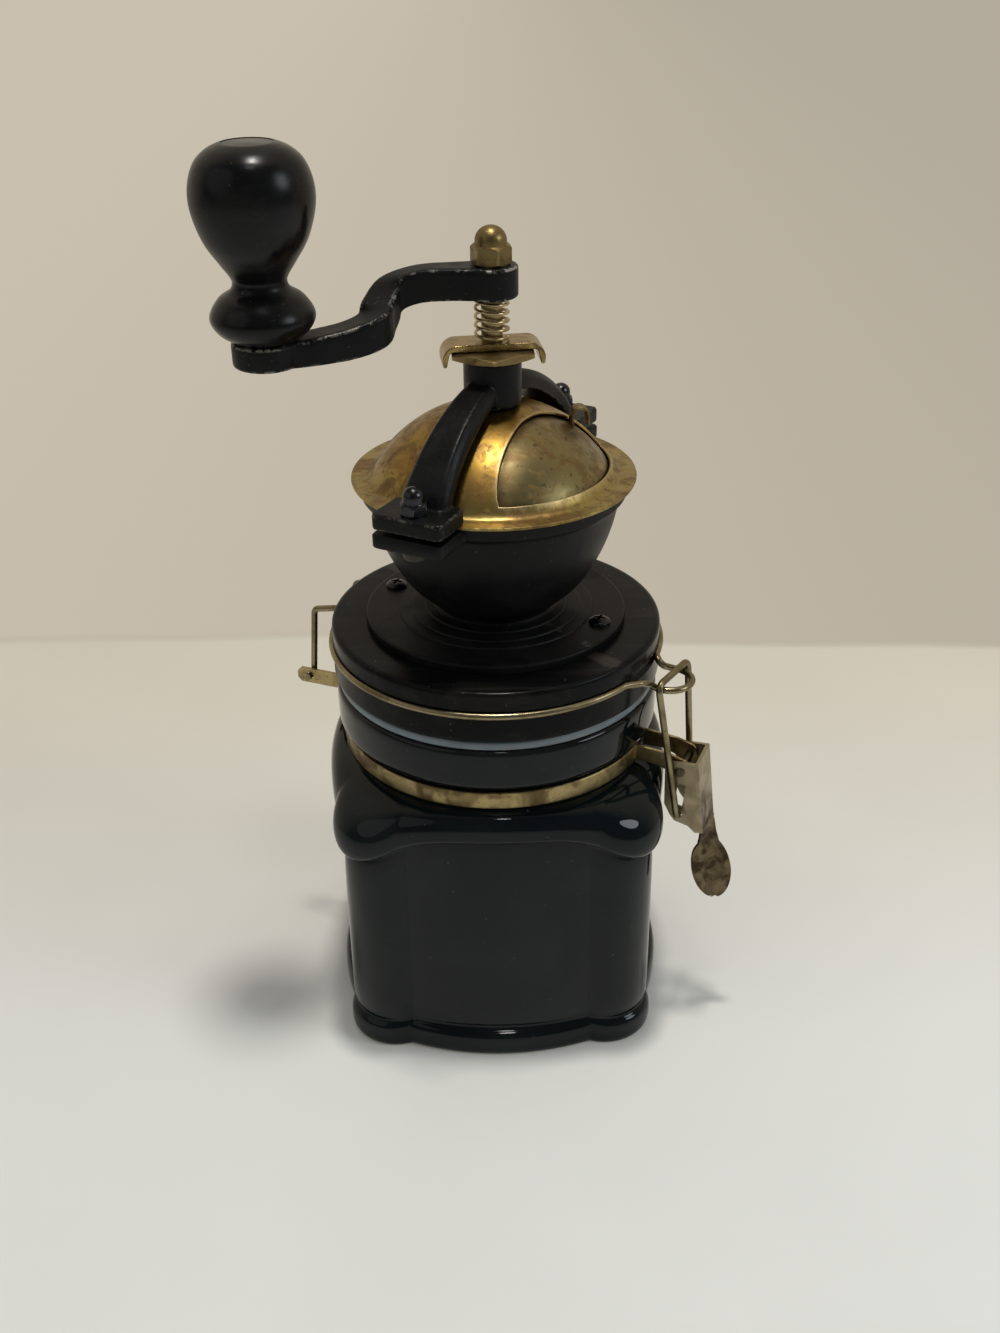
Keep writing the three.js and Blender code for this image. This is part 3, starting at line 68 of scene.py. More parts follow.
# ---------------------------------------------------------------------------------------------
# Camera, table and light. The camera stands where the photograph was taken from. The table is
# a pale matt top that ends a little behind the grinder, and a beige wall shows beyond it.
# ---------------------------------------------------------------------------------------------
MM = 0.001
CAMERA_AT = Vector((1.109, -394.147, 334.795)) * MM
CAMERA_RIGHT = Vector((0.99992859, -0.00587352, -0.01040795))
CAMERA_UP = Vector((0.01195088, 0.49143635, 0.87083149))
PHOTO_HEIGHT = 1333
FOCAL_PIXELS = 1450
TABLE_COLOUR = (0.80, 0.805, 0.77, 1)
TABLE_FAR_COLOUR = (0.74, 0.685, 0.57, 1)
WALL_COLOUR = (0.53, 0.475, 0.385, 1)
ROOM_COLOUR = (0.10, 0.10, 0.105, 1)
ROOM_LIGHT = (0.365, 0.365, 0.36, 1)
TABLE_END = 0.223  # how far behind the grinder the table ends
TABLE_SLANT = 0.045  # how much nearer its edge comes towards the right


def placed(name, data):
    """A new object in the scene."""
    made = bpy.data.objects.new(name, data)
    scene.collection.objects.link(made)
    return made


lens = bpy.data.cameras.new("camera")
lens.sensor_fit = "VERTICAL"
lens.sensor_height = 36
lens.lens = FOCAL_PIXELS / PHOTO_HEIGHT * lens.sensor_height
lens.clip_start = 0.01
camera = placed("camera", lens)
backward = CAMERA_RIGHT.cross(CAMERA_UP)
camera.matrix_world = Matrix.Translation(CAMERA_AT) @ Matrix(
    (CAMERA_RIGHT, CAMERA_UP, backward)).transposed().to_4x4()
scene.camera = camera


def add(tree, kind, inputs=(), **settings):
    """A new shader or geometry node, with its settings, and its inputs given as values or as links."""
    made = tree.nodes.new(kind)
    for key, value in settings.items():
        setattr(made, key, value)
    for key, value in dict(inputs).items():
        if isinstance(value, bpy.types.NodeSocket):
            tree.links.new(value, made.inputs[key])
        else:
            made.inputs[key].default_value = value
    return made


def finish_tree(name, shader_values=()):
    """A new material: its node tree and its shader, set to the given values."""
    material = bpy.data.materials.new(name)
    material.use_nodes = True
    shader = material.node_tree.nodes["Principled BSDF"]
    for key, value in dict(shader_values).items():
        shader.inputs[key].default_value = value
    return material, material.node_tree, shader


def place_on_piece(tree):
    """The point's own place on the object, in metres."""
    return add(tree, "ShaderNodeTexCoord").outputs["Object"]


def place_parts(tree):
    """The point's own place as three values: to the right, to the back and up."""
    return add(tree, "ShaderNodeSeparateXYZ", {0: place_on_piece(tree)}).outputs


def clouds(tree, scale, detail=3.0, stretch=(1, 1, 1), turn=(0, 0, 0), rough=0.5, swirl=0.0, at=None):
    """Soft random patches from 0 to 1. The scale is patches per metre."""
    if at is None:
        at = place_on_piece(tree)
    laid = add(tree, "ShaderNodeMapping", {"Vector": at, "Scale": stretch, "Rotation": turn})
    return add(tree, "ShaderNodeTexNoise", {
        "Vector": laid.outputs[0], "Scale": scale, "Detail": detail, "Roughness": rough,
        "Distortion": swirl}).outputs[0]


def ramp(tree, value, low, high, start=0.0, end=1.0):
    """Turns a value from low to high into one from start to end."""
    return add(tree, "ShaderNodeMapRange", {
        "Value": value, "From Min": low, "From Max": high, "To Min": start, "To Max": end},
        interpolation_type="SMOOTHSTEP").outputs[0]


def blend_colour(tree, share, first, second, way="MIX"):
    """A colour between two, each of them a colour or another node's output."""
    made = add(tree, "ShaderNodeMix", data_type="RGBA", blend_type=way)
    for index, value in ((0, share), (6, first), (7, second)):
        if isinstance(value, bpy.types.NodeSocket):
            tree.links.new(value, made.inputs[index])
        else:
            made.inputs[index].default_value = value
    return made.outputs[2]


def sum_of(tree, first, second, way="ADD"):
    """The sum of two values, or their difference or product, kept from 0 to 1."""
    return add(tree, "ShaderNodeMath", {0: first, 1: second}, operation=way, use_clamp=True).outputs[0]


def part_of(tree, value, share):
    """The value times the share."""
    return sum_of(tree, value, share, "MULTIPLY")


def seen_rays(tree):
    """1 for rays that show a surface in the picture, in gloss or through glass, 0 for those that light one."""
    rays = add(tree, "ShaderNodeLightPath").outputs
    return sum_of(tree, sum_of(tree, rays["Is Camera Ray"], rays["Is Glossy Ray"]), rays["Is Transmission Ray"])


def relief(tree, shader, height, depth, strength=1.0):
    """A surface relief of the given depth in millimetres."""
    bump = add(tree, "ShaderNodeBump", {"Height": height, "Distance": depth * MM, "Strength": strength})
    tree.links.new(bump.outputs[0], shader.inputs["Normal"])


def ridges(tree, low=0.52, high=0.6):
    """1 on the outward edges of a finely divided piece and 0 elsewhere."""
    return ramp(tree, add(tree, "ShaderNodeNewGeometry").outputs["Pointiness"], low, high)


def shade_of(colour, brightness):
    """The colour made darker or brighter."""
    return tuple(c * brightness for c in colour[:3]) + (1,)


def table_finish():
    """A matt pale top that yellows towards the back, and beyond its edge the wall."""
    material, tree, shader = finish_tree("table_top", {"Roughness": 0.55, "Specular IOR Level": 0.3})
    right, back, _ = place_parts(tree)
    wander = ramp(tree, clouds(tree, 2.2, 2), 0.2, 0.8, -0.012, 0.012)
    slant = add(tree, "ShaderNodeMath", {0: right, 1: TABLE_SLANT, 2: back},
                operation="MULTIPLY_ADD").outputs[0]
    edge = add(tree, "ShaderNodeMath", {0: slant, 1: wander}, operation="ADD").outputs[0]
    beyond = ramp(tree, edge, TABLE_END - 0.006, TABLE_END + 0.006)
    fade = ramp(tree, back, -0.1, TABLE_END)
    top = blend_colour(tree, fade, TABLE_COLOUR, TABLE_FAR_COLOUR)
    cloudy = ramp(tree, clouds(tree, 9, 4), 0.25, 0.75, 0.96, 1.0)
    grey = add(tree, "ShaderNodeCombineColor", {0: cloudy, 1: cloudy, 2: cloudy}).outputs[0]
    top = blend_colour(tree, 1.0, top, grey, "MULTIPLY")
    tree.links.new(blend_colour(tree, beyond, top, WALL_COLOUR), shader.inputs["Base Color"])
    relief(tree, shader, clouds(tree, 900, 4), 0.04, 0.4)
    # Beyond the table the plain wall is seen, and mirrored, in its own colour, with a painted light falloff:
    # lighter at the left and darker at the right.
    painted_wall_light = ramp(tree, right, -0.5, 0.6, 1.0, 0.0)
    wall = blend_colour(tree, painted_wall_light, shade_of(WALL_COLOUR, 0.86), shade_of(WALL_COLOUR, 1.1))
    glow = add(tree, "ShaderNodeEmission", {"Color": wall, "Strength": 1.0})
    share = part_of(tree, seen_rays(tree), beyond)
    mixed = add(tree, "ShaderNodeMixShader", {0: share, 1: shader.outputs[0], 2: glow.outputs[0]})
    tree.links.new(mixed.outputs[0], tree.nodes["Material Output"].inputs["Surface"])
    return material


table_mesh = bpy.data.meshes.new("table")
table_mesh.from_pydata([(-9, -6, 0), (9, -6, 0), (9, 12, 0), (-9, 12, 0)], [], [(0, 1, 2, 3)])
table_mesh.materials.append(table_finish())
table = placed("table", table_mesh)

room = bpy.data.worlds.new("room")
room.use_nodes = True
scene.world = room
room_tree = room.node_tree
room_light = room_tree.nodes["Background"]
room_light.inputs["Color"].default_value = ROOM_LIGHT
# The wall is seen behind the grinder, and gloss mirrors it too; the room in front of the grinder is dim.
room_back = ramp(room_tree, place_parts(room_tree)[1], -0.25, 0.3)
room_side = sum_of(room_tree, room_back, add(room_tree, "ShaderNodeLightPath").outputs["Is Camera Ray"])
room_tone = blend_colour(room_tree, room_side, ROOM_COLOUR, WALL_COLOUR)
room_wall = add(room_tree, "ShaderNodeBackground", {"Color": room_tone, "Strength": 1.0})
room_mix = add(room_tree, "ShaderNodeMixShader", {
    0: seen_rays(room_tree), 1: room_light.outputs[0], 2: room_wall.outputs[0]})
room_tree.links.new(room_mix.outputs[0], room_tree.nodes["World Output"].inputs["Surface"])


LAMP_TARGET = Vector((0, 0, 0.12))


def lamp(name, place, watts, size, colour):
    """A round lamp or window that faces the grinder."""
    light = bpy.data.lights.new(name, "AREA")
    light.shape = "DISK"
    light.energy, light.size, light.color = watts, size, colour
    made = placed(name, light)
    place = Vector(place)
    aim = (LAMP_TARGET - place).to_track_quat("-Z", "Y")
    made.matrix_world = Matrix.Translation(place) @ aim.to_matrix().to_4x4()


lamp("ceiling_lamp", (0.016, 0.0, 1.32), watts=6.9, size=0.12, colour=(1.0, 0.97, 0.92))
lamp("lamp_front", (0.03, -0.40, 1.30), watts=0.6, size=0.10, colour=(1.0, 0.98, 0.95))
lamp("window_right", (0.95, -0.35, 0.70), watts=2.9, size=0.42, colour=(0.88, 0.95, 1.0))
lamp("window_left", (-0.95, -0.60, 0.85), watts=1.1, size=1.10, colour=(1.0, 0.98, 0.95))

# ---------------------------------------------------------------------------------------------
# Jar: a four-sided pot of slip-cast stoneware, fired with a thick black glaze. It has corner
# lobes, arched shoulders, a foot, and a round neck and rim for the strap and the lid.
# ---------------------------------------------------------------------------------------------


def skin(rings, joined=False, caps=False):
    """Faces between rings that have the same number of points each."""
    count = len(rings[0])
    points = [p for ring in rings for p in ring]
    faces = []
    for i in range(len(rings) if joined else len(rings) - 1):
        a, b = i * count, (i + 1) % len(rings) * count
        faces += [(a + k, a + (k + 1) % count, b + (k + 1) % count, b + k) for k in range(count)]
    if caps:
        faces += [tuple(range(count)), tuple(range(len(points) - count, len(points)))]
    return points, faces


def both(*shapes):
    """Several shapes of points and faces as one."""
    points, faces = [], []
    for more_points, more_faces in shapes:
        faces += [tuple(k + len(points) for k in face) for face in more_faces]
        points += more_points
    return points, faces


def shade_faces(mesh, sharp):
    """Shades the faces smooth, and keeps the edges over the sharp angle crisp."""
    mesh.polygons.foreach_set("use_smooth", [True] * len(mesh.polygons))
    mesh.set_sharp_from_angle(angle=math.radians(sharp))


def make(name, shape, material, sharp=38):
    """A piece from points in millimetres, with its doubles merged and its faces turned outwards."""
    points, faces = shape
    mesh = bpy.data.meshes.new(name)
    mesh.from_pydata([Vector(p) * MM for p in points], [], faces)
    work = bmesh.new()
    work.from_mesh(mesh)
    bmesh.ops.remove_doubles(work, verts=work.verts, dist=2e-6)
    bmesh.ops.dissolve_degenerate(work, edges=work.edges, dist=1e-7)
    bmesh.ops.recalc_face_normals(work, faces=work.faces)
    work.to_mesh(mesh)
    work.free()
    shade_faces(mesh, sharp)
    mesh.materials.append(material)
    return placed(name, mesh)


def subdivide(piece, levels):
    """Rounds the whole piece by dividing its faces."""
    smooth = piece.modifiers.new("subdivide", "SUBSURF")
    smooth.levels = smooth.render_levels = levels


# Sizes are in millimetres and angles in degrees, here and in the sections after this one.
PANEL, LOBE = 14, 12  # points across one panel and one corner lobe
CREASE_ANGLE = 31.3  # from a panel's middle
# from the axis to the panel's middle, the crease and the lobe
FOOT, BODY, SHOULDER = (53.4, 55.9, 62.9), (50.7, 54.9, 61.7), (53.4, 58.0, 64.5)
ARCH = 10.8  # how much higher the shoulder is over a panel than at a lobe
NECK, RIM, MOUTH = 46.7, 49.7, 42.0
RIM_TOP = 112.3


def arc_through(start, middle, end, steps):
    """Points on the arc through three, closer together near its ends, without the last one."""
    (ax, ay), (bx, by), (cx, cy) = start, middle, end
    d = 2 * (ax * (by - cy) + bx * (cy - ay) + cx * (ay - by))
    a2, b2, c2 = ax * ax + ay * ay, bx * bx + by * by, cx * cx + cy * cy
    ux = (a2 * (by - cy) + b2 * (cy - ay) + c2 * (ay - by)) / d
    uy = (a2 * (cx - bx) + b2 * (ax - cx) + c2 * (bx - ax)) / d
    radius = math.hypot(ax - ux, ay - uy)
    first = math.atan2(ay - uy, ax - ux)
    sweep = (math.atan2(cy - uy, cx - ux) - first) % (2 * math.pi)
    turns = [first + sweep * (0.5 - 0.5 * math.cos(math.pi * i / steps)) for i in range(steps)]
    return [(ux + radius * math.cos(a), uy + radius * math.sin(a)) for a in turns]


def polar(radius, degrees):
    """The point (x, y) at a distance from the axis and in a direction."""
    return radius * math.cos(math.radians(degrees)), radius * math.sin(math.radians(degrees))


def jar_ring(size, height, inset=(0, 0, 0), arch=0.0):
    """One level of the jar. The panel's middle, the crease and the lobe each lie size - inset from the axis,
    and the level is higher by arch at the middle of each panel."""
    half, crease, corner = (s - i for s, i in zip(size, inset))
    outline = []
    for face in (0, 90, 180, 270):
        left, right = polar(crease, face - CREASE_ANGLE), polar(crease, face + CREASE_ANGLE)
        outline += arc_through(left, polar(half, face), right, PANEL)
        outline += arc_through(right, polar(corner, face + 45), polar(crease, face + 90 - CREASE_ANGLE), LOBE)
    ring = []
    for x, y in outline:
        over_panel = 1 - (0.5 - 0.5 * math.cos(4 * math.atan2(y, x))) ** 3.5
        ring.append((x, y, height + arch * over_panel))
    return ring


def round_ring(radius, height):
    """A round level with as many points as the others."""
    return jar_ring((radius,) * 3, height)


CHIP_AT, CHIP_WHOLE, CHIP_END = (0.0462, -0.0318, 0.0070), 0.0012, 0.0017  # metres
BARE_CLAY = (0.50, 0.44, 0.34, 1)


def coat(tree, under, share, amount, tint):
    """Lays a colour over another where the share is 1, and at most by the amount."""
    return blend_colour(tree, part_of(tree, share, amount), under, tint)


def glaze_finish():
    """Thick black glaze: pooled patches, thinner and browner on edges, fine specks, soft waves and one chip."""
    material, tree, shader = finish_tree("black_glaze", {"Specular IOR Level": 0.24})
    thin = ridges(tree, 0.515, 0.56)
    pooled = ramp(tree, clouds(tree, 38, 4, swirl=0.6), 0.35, 0.7)
    colour = blend_colour(tree, pooled, (0.0026, 0.0046, 0.0054, 1), (0.0060, 0.0086, 0.0088, 1))
    colour = coat(tree, colour, thin, 0.35, (0.060, 0.050, 0.036, 1))
    specks = ramp(tree, clouds(tree, 620, 2), 0.735, 0.76)
    colour = coat(tree, colour, specks, 0.35, (0.10, 0.10, 0.09, 1))
    # The foot's underside is wiped free of glaze, and the glaze has one small chip at the right of the foot.
    bare = ramp(tree, place_parts(tree)[2], 0.0006, 0.0002)
    away = add(tree, "ShaderNodeVectorMath", {0: place_on_piece(tree), 1: CHIP_AT},
               operation="DISTANCE").outputs["Value"]
    crumbly = ramp(tree, clouds(tree, 700, 3), 0.2, 0.8, -0.0009, 0.0009)
    ragged = add(tree, "ShaderNodeMath", {0: away, 1: crumbly}, operation="ADD").outputs[0]
    bare = sum_of(tree, bare, ramp(tree, ragged, CHIP_END, CHIP_WHOLE))
    colour = blend_colour(tree, bare, colour, BARE_CLAY)
    tree.links.new(colour, shader.inputs["Base Color"])
    wiped = ramp(tree, clouds(tree, 24, 5, swirl=1.2), 0.45, 0.75, 0.045, 0.15)
    tree.links.new(sum_of(tree, wiped, bare), shader.inputs["Roughness"])
    fine = part_of(tree, clouds(tree, 480, 2), 0.06)
    waves = add(tree, "ShaderNodeMath", {0: clouds(tree, 70, 2), 1: 0.75, 2: fine},
                operation="MULTIPLY_ADD").outputs[0]
    relief(tree, shader, waves, 0.30, 0.35)
    return material


jar = make("glazed_jar", skin([
    jar_ring(FOOT, 1.4, (9, 9, 10)),
    jar_ring(FOOT, 1.2, (7, 7, 8)),
    jar_ring(FOOT, 0.1, (5.8, 5.8, 6.6)),
    jar_ring(FOOT, 0.0, (5, 5, 5.6)),
    jar_ring(FOOT, 0.0, (1.6, 1.6, 1.6)),
    jar_ring(FOOT, 0.25, (0.9, 0.9, 0.9)),
    jar_ring(FOOT, 1.3, (0.3, 0.3, 0.3)),
    jar_ring(FOOT, 2.6, (0.05, 0.05, 0.05)),
    jar_ring(FOOT, 4.6),
    jar_ring(FOOT, 6.4, (0.15, 0.2, 0.15)),
    jar_ring(FOOT, 7.6, (0.6, 0.7, 0.6)),
    jar_ring(FOOT, 8.3, (1.5, 1.1, 1.2)),
    jar_ring(FOOT, 8.75, (2.6, 1.7, 2.0)),
    jar_ring(BODY, 9.4, (0.6, 1.6, 1.3)),
    jar_ring(BODY, 11.0, (0.15, 1.1, 0.4)),
    jar_ring(BODY, 14.0, (0, 0.9, 0)),
    jar_ring(BODY, 26.0, (0, 0.9, 0), 1.6),
    jar_ring(BODY, 42.0, (0, 0.9, 0), 5.5),
    jar_ring(BODY, 56.0, (0, 0.9, 0), 9.8),
    jar_ring(BODY, 63.5, (0.1, 0.9, 0.2), ARCH),
    jar_ring(BODY, 67.8, (0.4, 1.1, 0.8), ARCH),
    jar_ring(BODY, 69.9, (0.8, 1.3, 1.5), ARCH),
    jar_ring(BODY, 71.0, (1.3, 1.35, 2.2), ARCH),
    jar_ring(BODY, 71.6, (1.0, 0.9, 1.9), ARCH),
    jar_ring(SHOULDER, 71.9, (1.8, 2.0, 2.2), ARCH * 0.98),
    jar_ring(SHOULDER, 72.4, (0.9, 0.9, 0.9), ARCH * 0.96),
    jar_ring(SHOULDER, 73.4, (0.5, 0.35, 0.25), ARCH * 0.91),
    jar_ring(SHOULDER, 75.0, (0.4, 0.15, 0.0), ARCH * 0.82),
    jar_ring(SHOULDER, 77.2, (0.6, 0.25, 0.1), ARCH * 0.71),
    jar_ring(SHOULDER, 79.6, (0.5, 0.5, 0.6), ARCH * 0.59),
    jar_ring(SHOULDER, 82.0, (0.8, 1.0, 1.8), ARCH * 0.48),
    jar_ring(SHOULDER, 84.4, (1.3, 1.8, 3.5), ARCH * 0.37),
    jar_ring(SHOULDER, 86.8, (2.1, 3.3, 6.2), ARCH * 0.26),
    jar_ring(SHOULDER, 88.8, (3.3, 5.5, 9.6), ARCH * 0.16),
    jar_ring(SHOULDER, 90.2, (4.6, 7.9, 13.2), ARCH * 0.07),
    jar_ring((47.6, 48.0, 48.5), 91.1),
    round_ring(NECK + 0.25, 91.45),
    round_ring(NECK, 92.0),
    round_ring(NECK, 96.0),
    round_ring(NECK + 0.1, 97.6),
    round_ring(NECK + 0.9, 98.6),
    round_ring(RIM - 0.7, 99.3),
    round_ring(RIM - 0.1, 100.3),
    round_ring(RIM, 102.0),
    round_ring(RIM, 109.5),
    round_ring(RIM - 0.15, 111.1),
    round_ring(RIM - 0.8, 112.0),
    round_ring(RIM - 1.8, RIM_TOP),
    round_ring(MOUTH + 1.9, RIM_TOP),
    round_ring(MOUTH + 0.7, 112.0),
    round_ring(MOUTH + 0.1, 111.0),
    round_ring(MOUTH, 108.0),
    round_ring(MOUTH, 93.0),
    round_ring(MOUTH + 1.2, 90.4),
    jar_ring(SHOULDER, 85.5, (7.1, 9.6, 13.6)),
    jar_ring(SHOULDER, 80.0, (7.0, 8.0, 9.5)),
    jar_ring(BODY, 69.5, (4.6, 5.2, 5.6)),
    jar_ring(BODY, 50.0, (4.6, 4.6, 4.6)),
    jar_ring(BODY, 13.0, (4.6, 4.6, 4.6)),
    jar_ring(BODY, 7.5, (5.4, 5.4, 6.0)),
    jar_ring(BODY, 6.0, (9.6, 9.6, 10.6)),
], caps=True), glaze_finish(), sharp=180)
subdivide(jar, 1)
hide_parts("jar")
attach(jar, "jar_base")

# ---------------------------------------------------------------------------------------------
# Neck strap, hinge bracket and lever pin: brass strip bent round the jar's neck, its ends folded
# out into two ears; a bracket clipped on behind; and a steel pin peened over in the ears.
# ---------------------------------------------------------------------------------------------
CLOSURE_TURN, HINGE_TURN = -22.0, -32.0  # where the lever and the bracket are, round the neck
STRAP_LOW, STRAP_HIGH, STRAP_INNER, SHEET = 91.8, 97.4, 47.0, 1.0
STRAP_GAP, EAR_INNER = 5.8, 4.3  # half of the opening in the strap in degrees, and of the way between its ears
PIN_X, PIN_Z, PIN_RADIUS, PIN_HEAD, PIN_HALF = 62.0, 91.6, 1.2, 1.75, 6.95


def rounded(line, joined=False, steps=4, support=0.3):
    """Bends the corners of a flat outline of (x, y, bend). A point beside each bend keeps the flats flat."""
    out = []
    last = len(line) - 1
    for i, (x, y, *bend) in enumerate(line):
        here = Vector((x, y))
        if not bend or (not joined and i in (0, last)):
            out.append((x, y))
            continue
        back = Vector(line[i - 1][:2]) - here
        onward = Vector(line[(i + 1) % len(line)][:2]) - here
        turn = math.pi - back.angle(onward)
        reach = min(bend[0] * math.tan(turn / 2), 0.46 * back.length, 0.46 * onward.length)
        start, end = here + back.normalized() * reach, here + onward.normalized() * reach
        if back.length - reach > 3 * support:
            out.append(tuple(start + back.normalized() * support))
        for k in range(steps + 1):
            t = k / steps
            out.append(tuple(start * (1 - t) ** 2 + here * (2 * t * (1 - t)) + end * t * t))
        if onward.length - reach > 3 * support:
            out.append(tuple(end + onward.normalized() * support))
    return out


def turned(profile, steps=96, joined=False, first=0.0, sweep=360.0):
    """A profile of (radius, height) turned about the axis, all the way round or over an angle."""
    whole = sweep == 360.0
    count = steps if whole else steps + 1
    turns = [math.radians(first + sweep * k / steps) for k in range(count)]
    if whole:
        return skin([[(r * math.cos(a), r * math.sin(a), z) for a in turns] for r, z in profile], joined)
    return skin([[(r * math.cos(a), r * math.sin(a), z) for r, z in profile] for a in turns], caps=True)


def upright(outline, low, high):
    """A flat outline of (x, z) as a plate standing between two values of y."""
    return skin([[(x, low, z) for x, z in outline], [(x, high, z) for x, z in outline]], caps=True)


def moved(shape, degrees=0.0, by=(0, 0, 0)):
    """The shape turned about the upright axis, then moved."""
    points, faces = shape
    turn = Matrix.Rotation(math.radians(degrees), 3, "Z")
    return [tuple(turn @ Vector(p) + Vector(by)) for p in points], faces


def soften(piece, width, angle=35, segments=3):
    """Rounds the sharp edges of a piece, in millimetres."""
    bevel = piece.modifiers.new("soften", "BEVEL")
    bevel.width, bevel.segments = width * MM, segments
    bevel.limit_method, bevel.angle_limit = "ANGLE", math.radians(angle)
    bevel.harden_normals = True


def aged_brass(name, clean, brown, scale, stain_from, rough, worn=(0.62, 0.50, 0.27, 1)):
    """Brass that has gone dull: brown stains, dark spots, rubbed bright edges and fine scratches."""
    material, tree, shader = finish_tree(name, {"Metallic": 1.0})
    stain = ramp(tree, clouds(tree, scale, 5, swirl=0.8), stain_from, stain_from + 0.25)
    spots = ramp(tree, clouds(tree, scale * 9, 3), 0.60, 0.70)
    streak = clouds(tree, scale * 14, 3, stretch=(1, 1, 0.12))
    colour = blend_colour(tree, stain, clean, brown)
    colour = coat(tree, colour, spots, 0.55, shade_of(brown, 0.5))
    colour = coat(tree, colour, ridges(tree, 0.53, 0.62), 0.75, worn)
    tree.links.new(colour, shader.inputs["Base Color"])
    even = sum_of(tree, ramp(tree, streak, 0.3, 0.75, rough, rough + 0.14), part_of(tree, stain, 0.16))
    tree.links.new(even, shader.inputs["Roughness"])
    relief(tree, shader, sum_of(tree, streak, part_of(tree, spots, 0.4), "SUBTRACT"), 0.05, 0.5)
    return material


strap_brass = aged_brass("strap_brass", (0.40, 0.31, 0.145, 1), (0.15, 0.105, 0.05, 1), scale=130,
                         stain_from=0.42, rough=0.27)
strap_section = rounded([(STRAP_INNER, STRAP_LOW, 0.3), (STRAP_INNER + SHEET, STRAP_LOW, 0.45),
                         (STRAP_INNER + SHEET, STRAP_HIGH, 0.45), (STRAP_INNER, STRAP_HIGH, 0.3)], joined=True)
ear = rounded([(47.3, 91.8), (54, 91.8, 2), (57.4, 90.4, 2), (60.6, 88.4, 1.5), (63.4, 88.8, 1.5),
               (64.6, 91.2, 1.5), (63.8, 94.6, 2), (58, 96.4, 3), (47.3, 97.4)])
strap_shape = both(
    turned(strap_section, 140, first=STRAP_GAP, sweep=360 - 2 * STRAP_GAP),
    upright(ear, EAR_INNER, EAR_INNER + SHEET), upright(ear, -EAR_INNER - SHEET, -EAR_INNER))
strap = make("neck_strap", moved(strap_shape, CLOSURE_TURN), strap_brass)
soften(strap, 0.25, 60, 2)
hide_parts("neck_band")
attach(strap, "jar_base")


def loose_copy(node, name, material, keep_above=None):
    """A merged copy of a CAD piece, its flat faces joined, to be rounded. It may be cut off below a height."""
    work = bmesh.new()
    work.from_mesh(cad[node].data)
    bmesh.ops.remove_doubles(work, verts=work.verts, dist=2e-6)
    if keep_above is not None:
        cut = bmesh.ops.bisect_plane(work, geom=work.verts[:] + work.edges[:] + work.faces[:],
                                     plane_co=(0, 0, keep_above * MM), plane_no=(0, 0, 1), clear_inner=True)
        bmesh.ops.holes_fill(work, edges=[e for e in cut["geom_cut"] if isinstance(e, bmesh.types.BMEdge)])
    bmesh.ops.dissolve_limit(work, angle_limit=math.radians(1.0), verts=work.verts, edges=work.edges)
    mesh = bpy.data.meshes.new(name)
    work.to_mesh(mesh)
    work.free()
    shade_faces(mesh, 30)
    mesh.materials.clear()
    mesh.materials.append(material)
    return placed(name, mesh)


hinge = loose_copy("hinge_bracket", "bail_hinge_bracket", strap_brass)
soften(hinge, 0.22, 38, 2)
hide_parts("hinge_bracket")
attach(hinge, "jar_base")


def worn_steel(name, base, bright, rough, metal=1.0):
    """Steel with faint clouding, fine rubbed marks and brighter edges."""
    material, tree, shader = finish_tree(name, {"Metallic": metal})
    cloudy = ramp(tree, clouds(tree, 160, 4), 0.3, 0.7)
    colour = blend_colour(tree, cloudy, base, shade_of(base, 0.72))
    colour = coat(tree, colour, ridges(tree), 0.6, bright)
    tree.links.new(colour, shader.inputs["Base Color"])
    marks = clouds(tree, 1500, 3, stretch=(1, 1, 0.2))
    tree.links.new(ramp(tree, marks, 0.3, 0.75, rough, rough + 0.16), shader.inputs["Roughness"])
    relief(tree, shader, marks, 0.03, 0.4)
    return material


steel = worn_steel("turned_steel", (0.42, 0.41, 0.39, 1), (0.6, 0.59, 0.56, 1), rough=0.24)
dull_steel = worn_steel("dull_steel", (0.15, 0.12, 0.08, 1), (0.30, 0.26, 0.18, 1), rough=0.36)
peened = rounded([(0, -PIN_HALF), (PIN_RADIUS, -PIN_HALF, 0.5), (PIN_HEAD, -6.62, 0.2), (PIN_RADIUS, -6.6)],
                 steps=3)
pin_line = peened + [(PIN_RADIUS, 6.6)] + [(r, -y) for r, y in reversed(peened)][1:]
pin_points, pin_faces = turned(pin_line, 32)
pin_laid = [(PIN_X + x, z, PIN_Z + y) for x, y, z in pin_points]
pin = make("lever_pin", moved((pin_laid, pin_faces), CLOSURE_TURN), dull_steel)
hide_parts("catch_pin")
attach(pin, "jar_base")

# ---------------------------------------------------------------------------------------------
# Seal and lid: a pale rubber ring lies on the jar's rim, and the lid is a turned disc of hard
# wood in black lacquer, with a plug that enters the mouth and a groove round it for the bail.
# ---------------------------------------------------------------------------------------------
LID_LOW, LID_TOP, LID_RADIUS, PLUG_LOW, PLUG_RADIUS, CHUTE = 115.4, 131.8, 50.0, 110.5, 39.5, 14.0
SEAL_RADIUS = 49.0
WIRE, RING_RADIUS, RING_HEIGHT = 1.03, 50.2, 124.6


def seal_finish():
    """Blue-grey rubber, a little dusty."""
    material, tree, shader = finish_tree("pale_rubber", {
        "Roughness": 0.42, "Subsurface Weight": 0.25, "Subsurface Scale": 0.002})
    dusty = ramp(tree, clouds(tree, 60, 3), 0.35, 0.75)
    colour = blend_colour(tree, dusty, (0.155, 0.195, 0.215, 1), (0.115, 0.135, 0.145, 1))
    tree.links.new(colour, shader.inputs["Base Color"])
    relief(tree, shader, clouds(tree, 500, 3), 0.05, 0.5)
    return material


seal_line = rounded([(PLUG_RADIUS + 0.3, RIM_TOP, 0.4), (SEAL_RADIUS, RIM_TOP, 1.2),
                     (SEAL_RADIUS, LID_LOW, 1.2), (PLUG_RADIUS + 0.3, LID_LOW, 0.4)], joined=True)
seal = make("rim_seal", turned(seal_line, 160, joined=True), seal_finish())
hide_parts("gasket")
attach(seal, "lid_assembly")


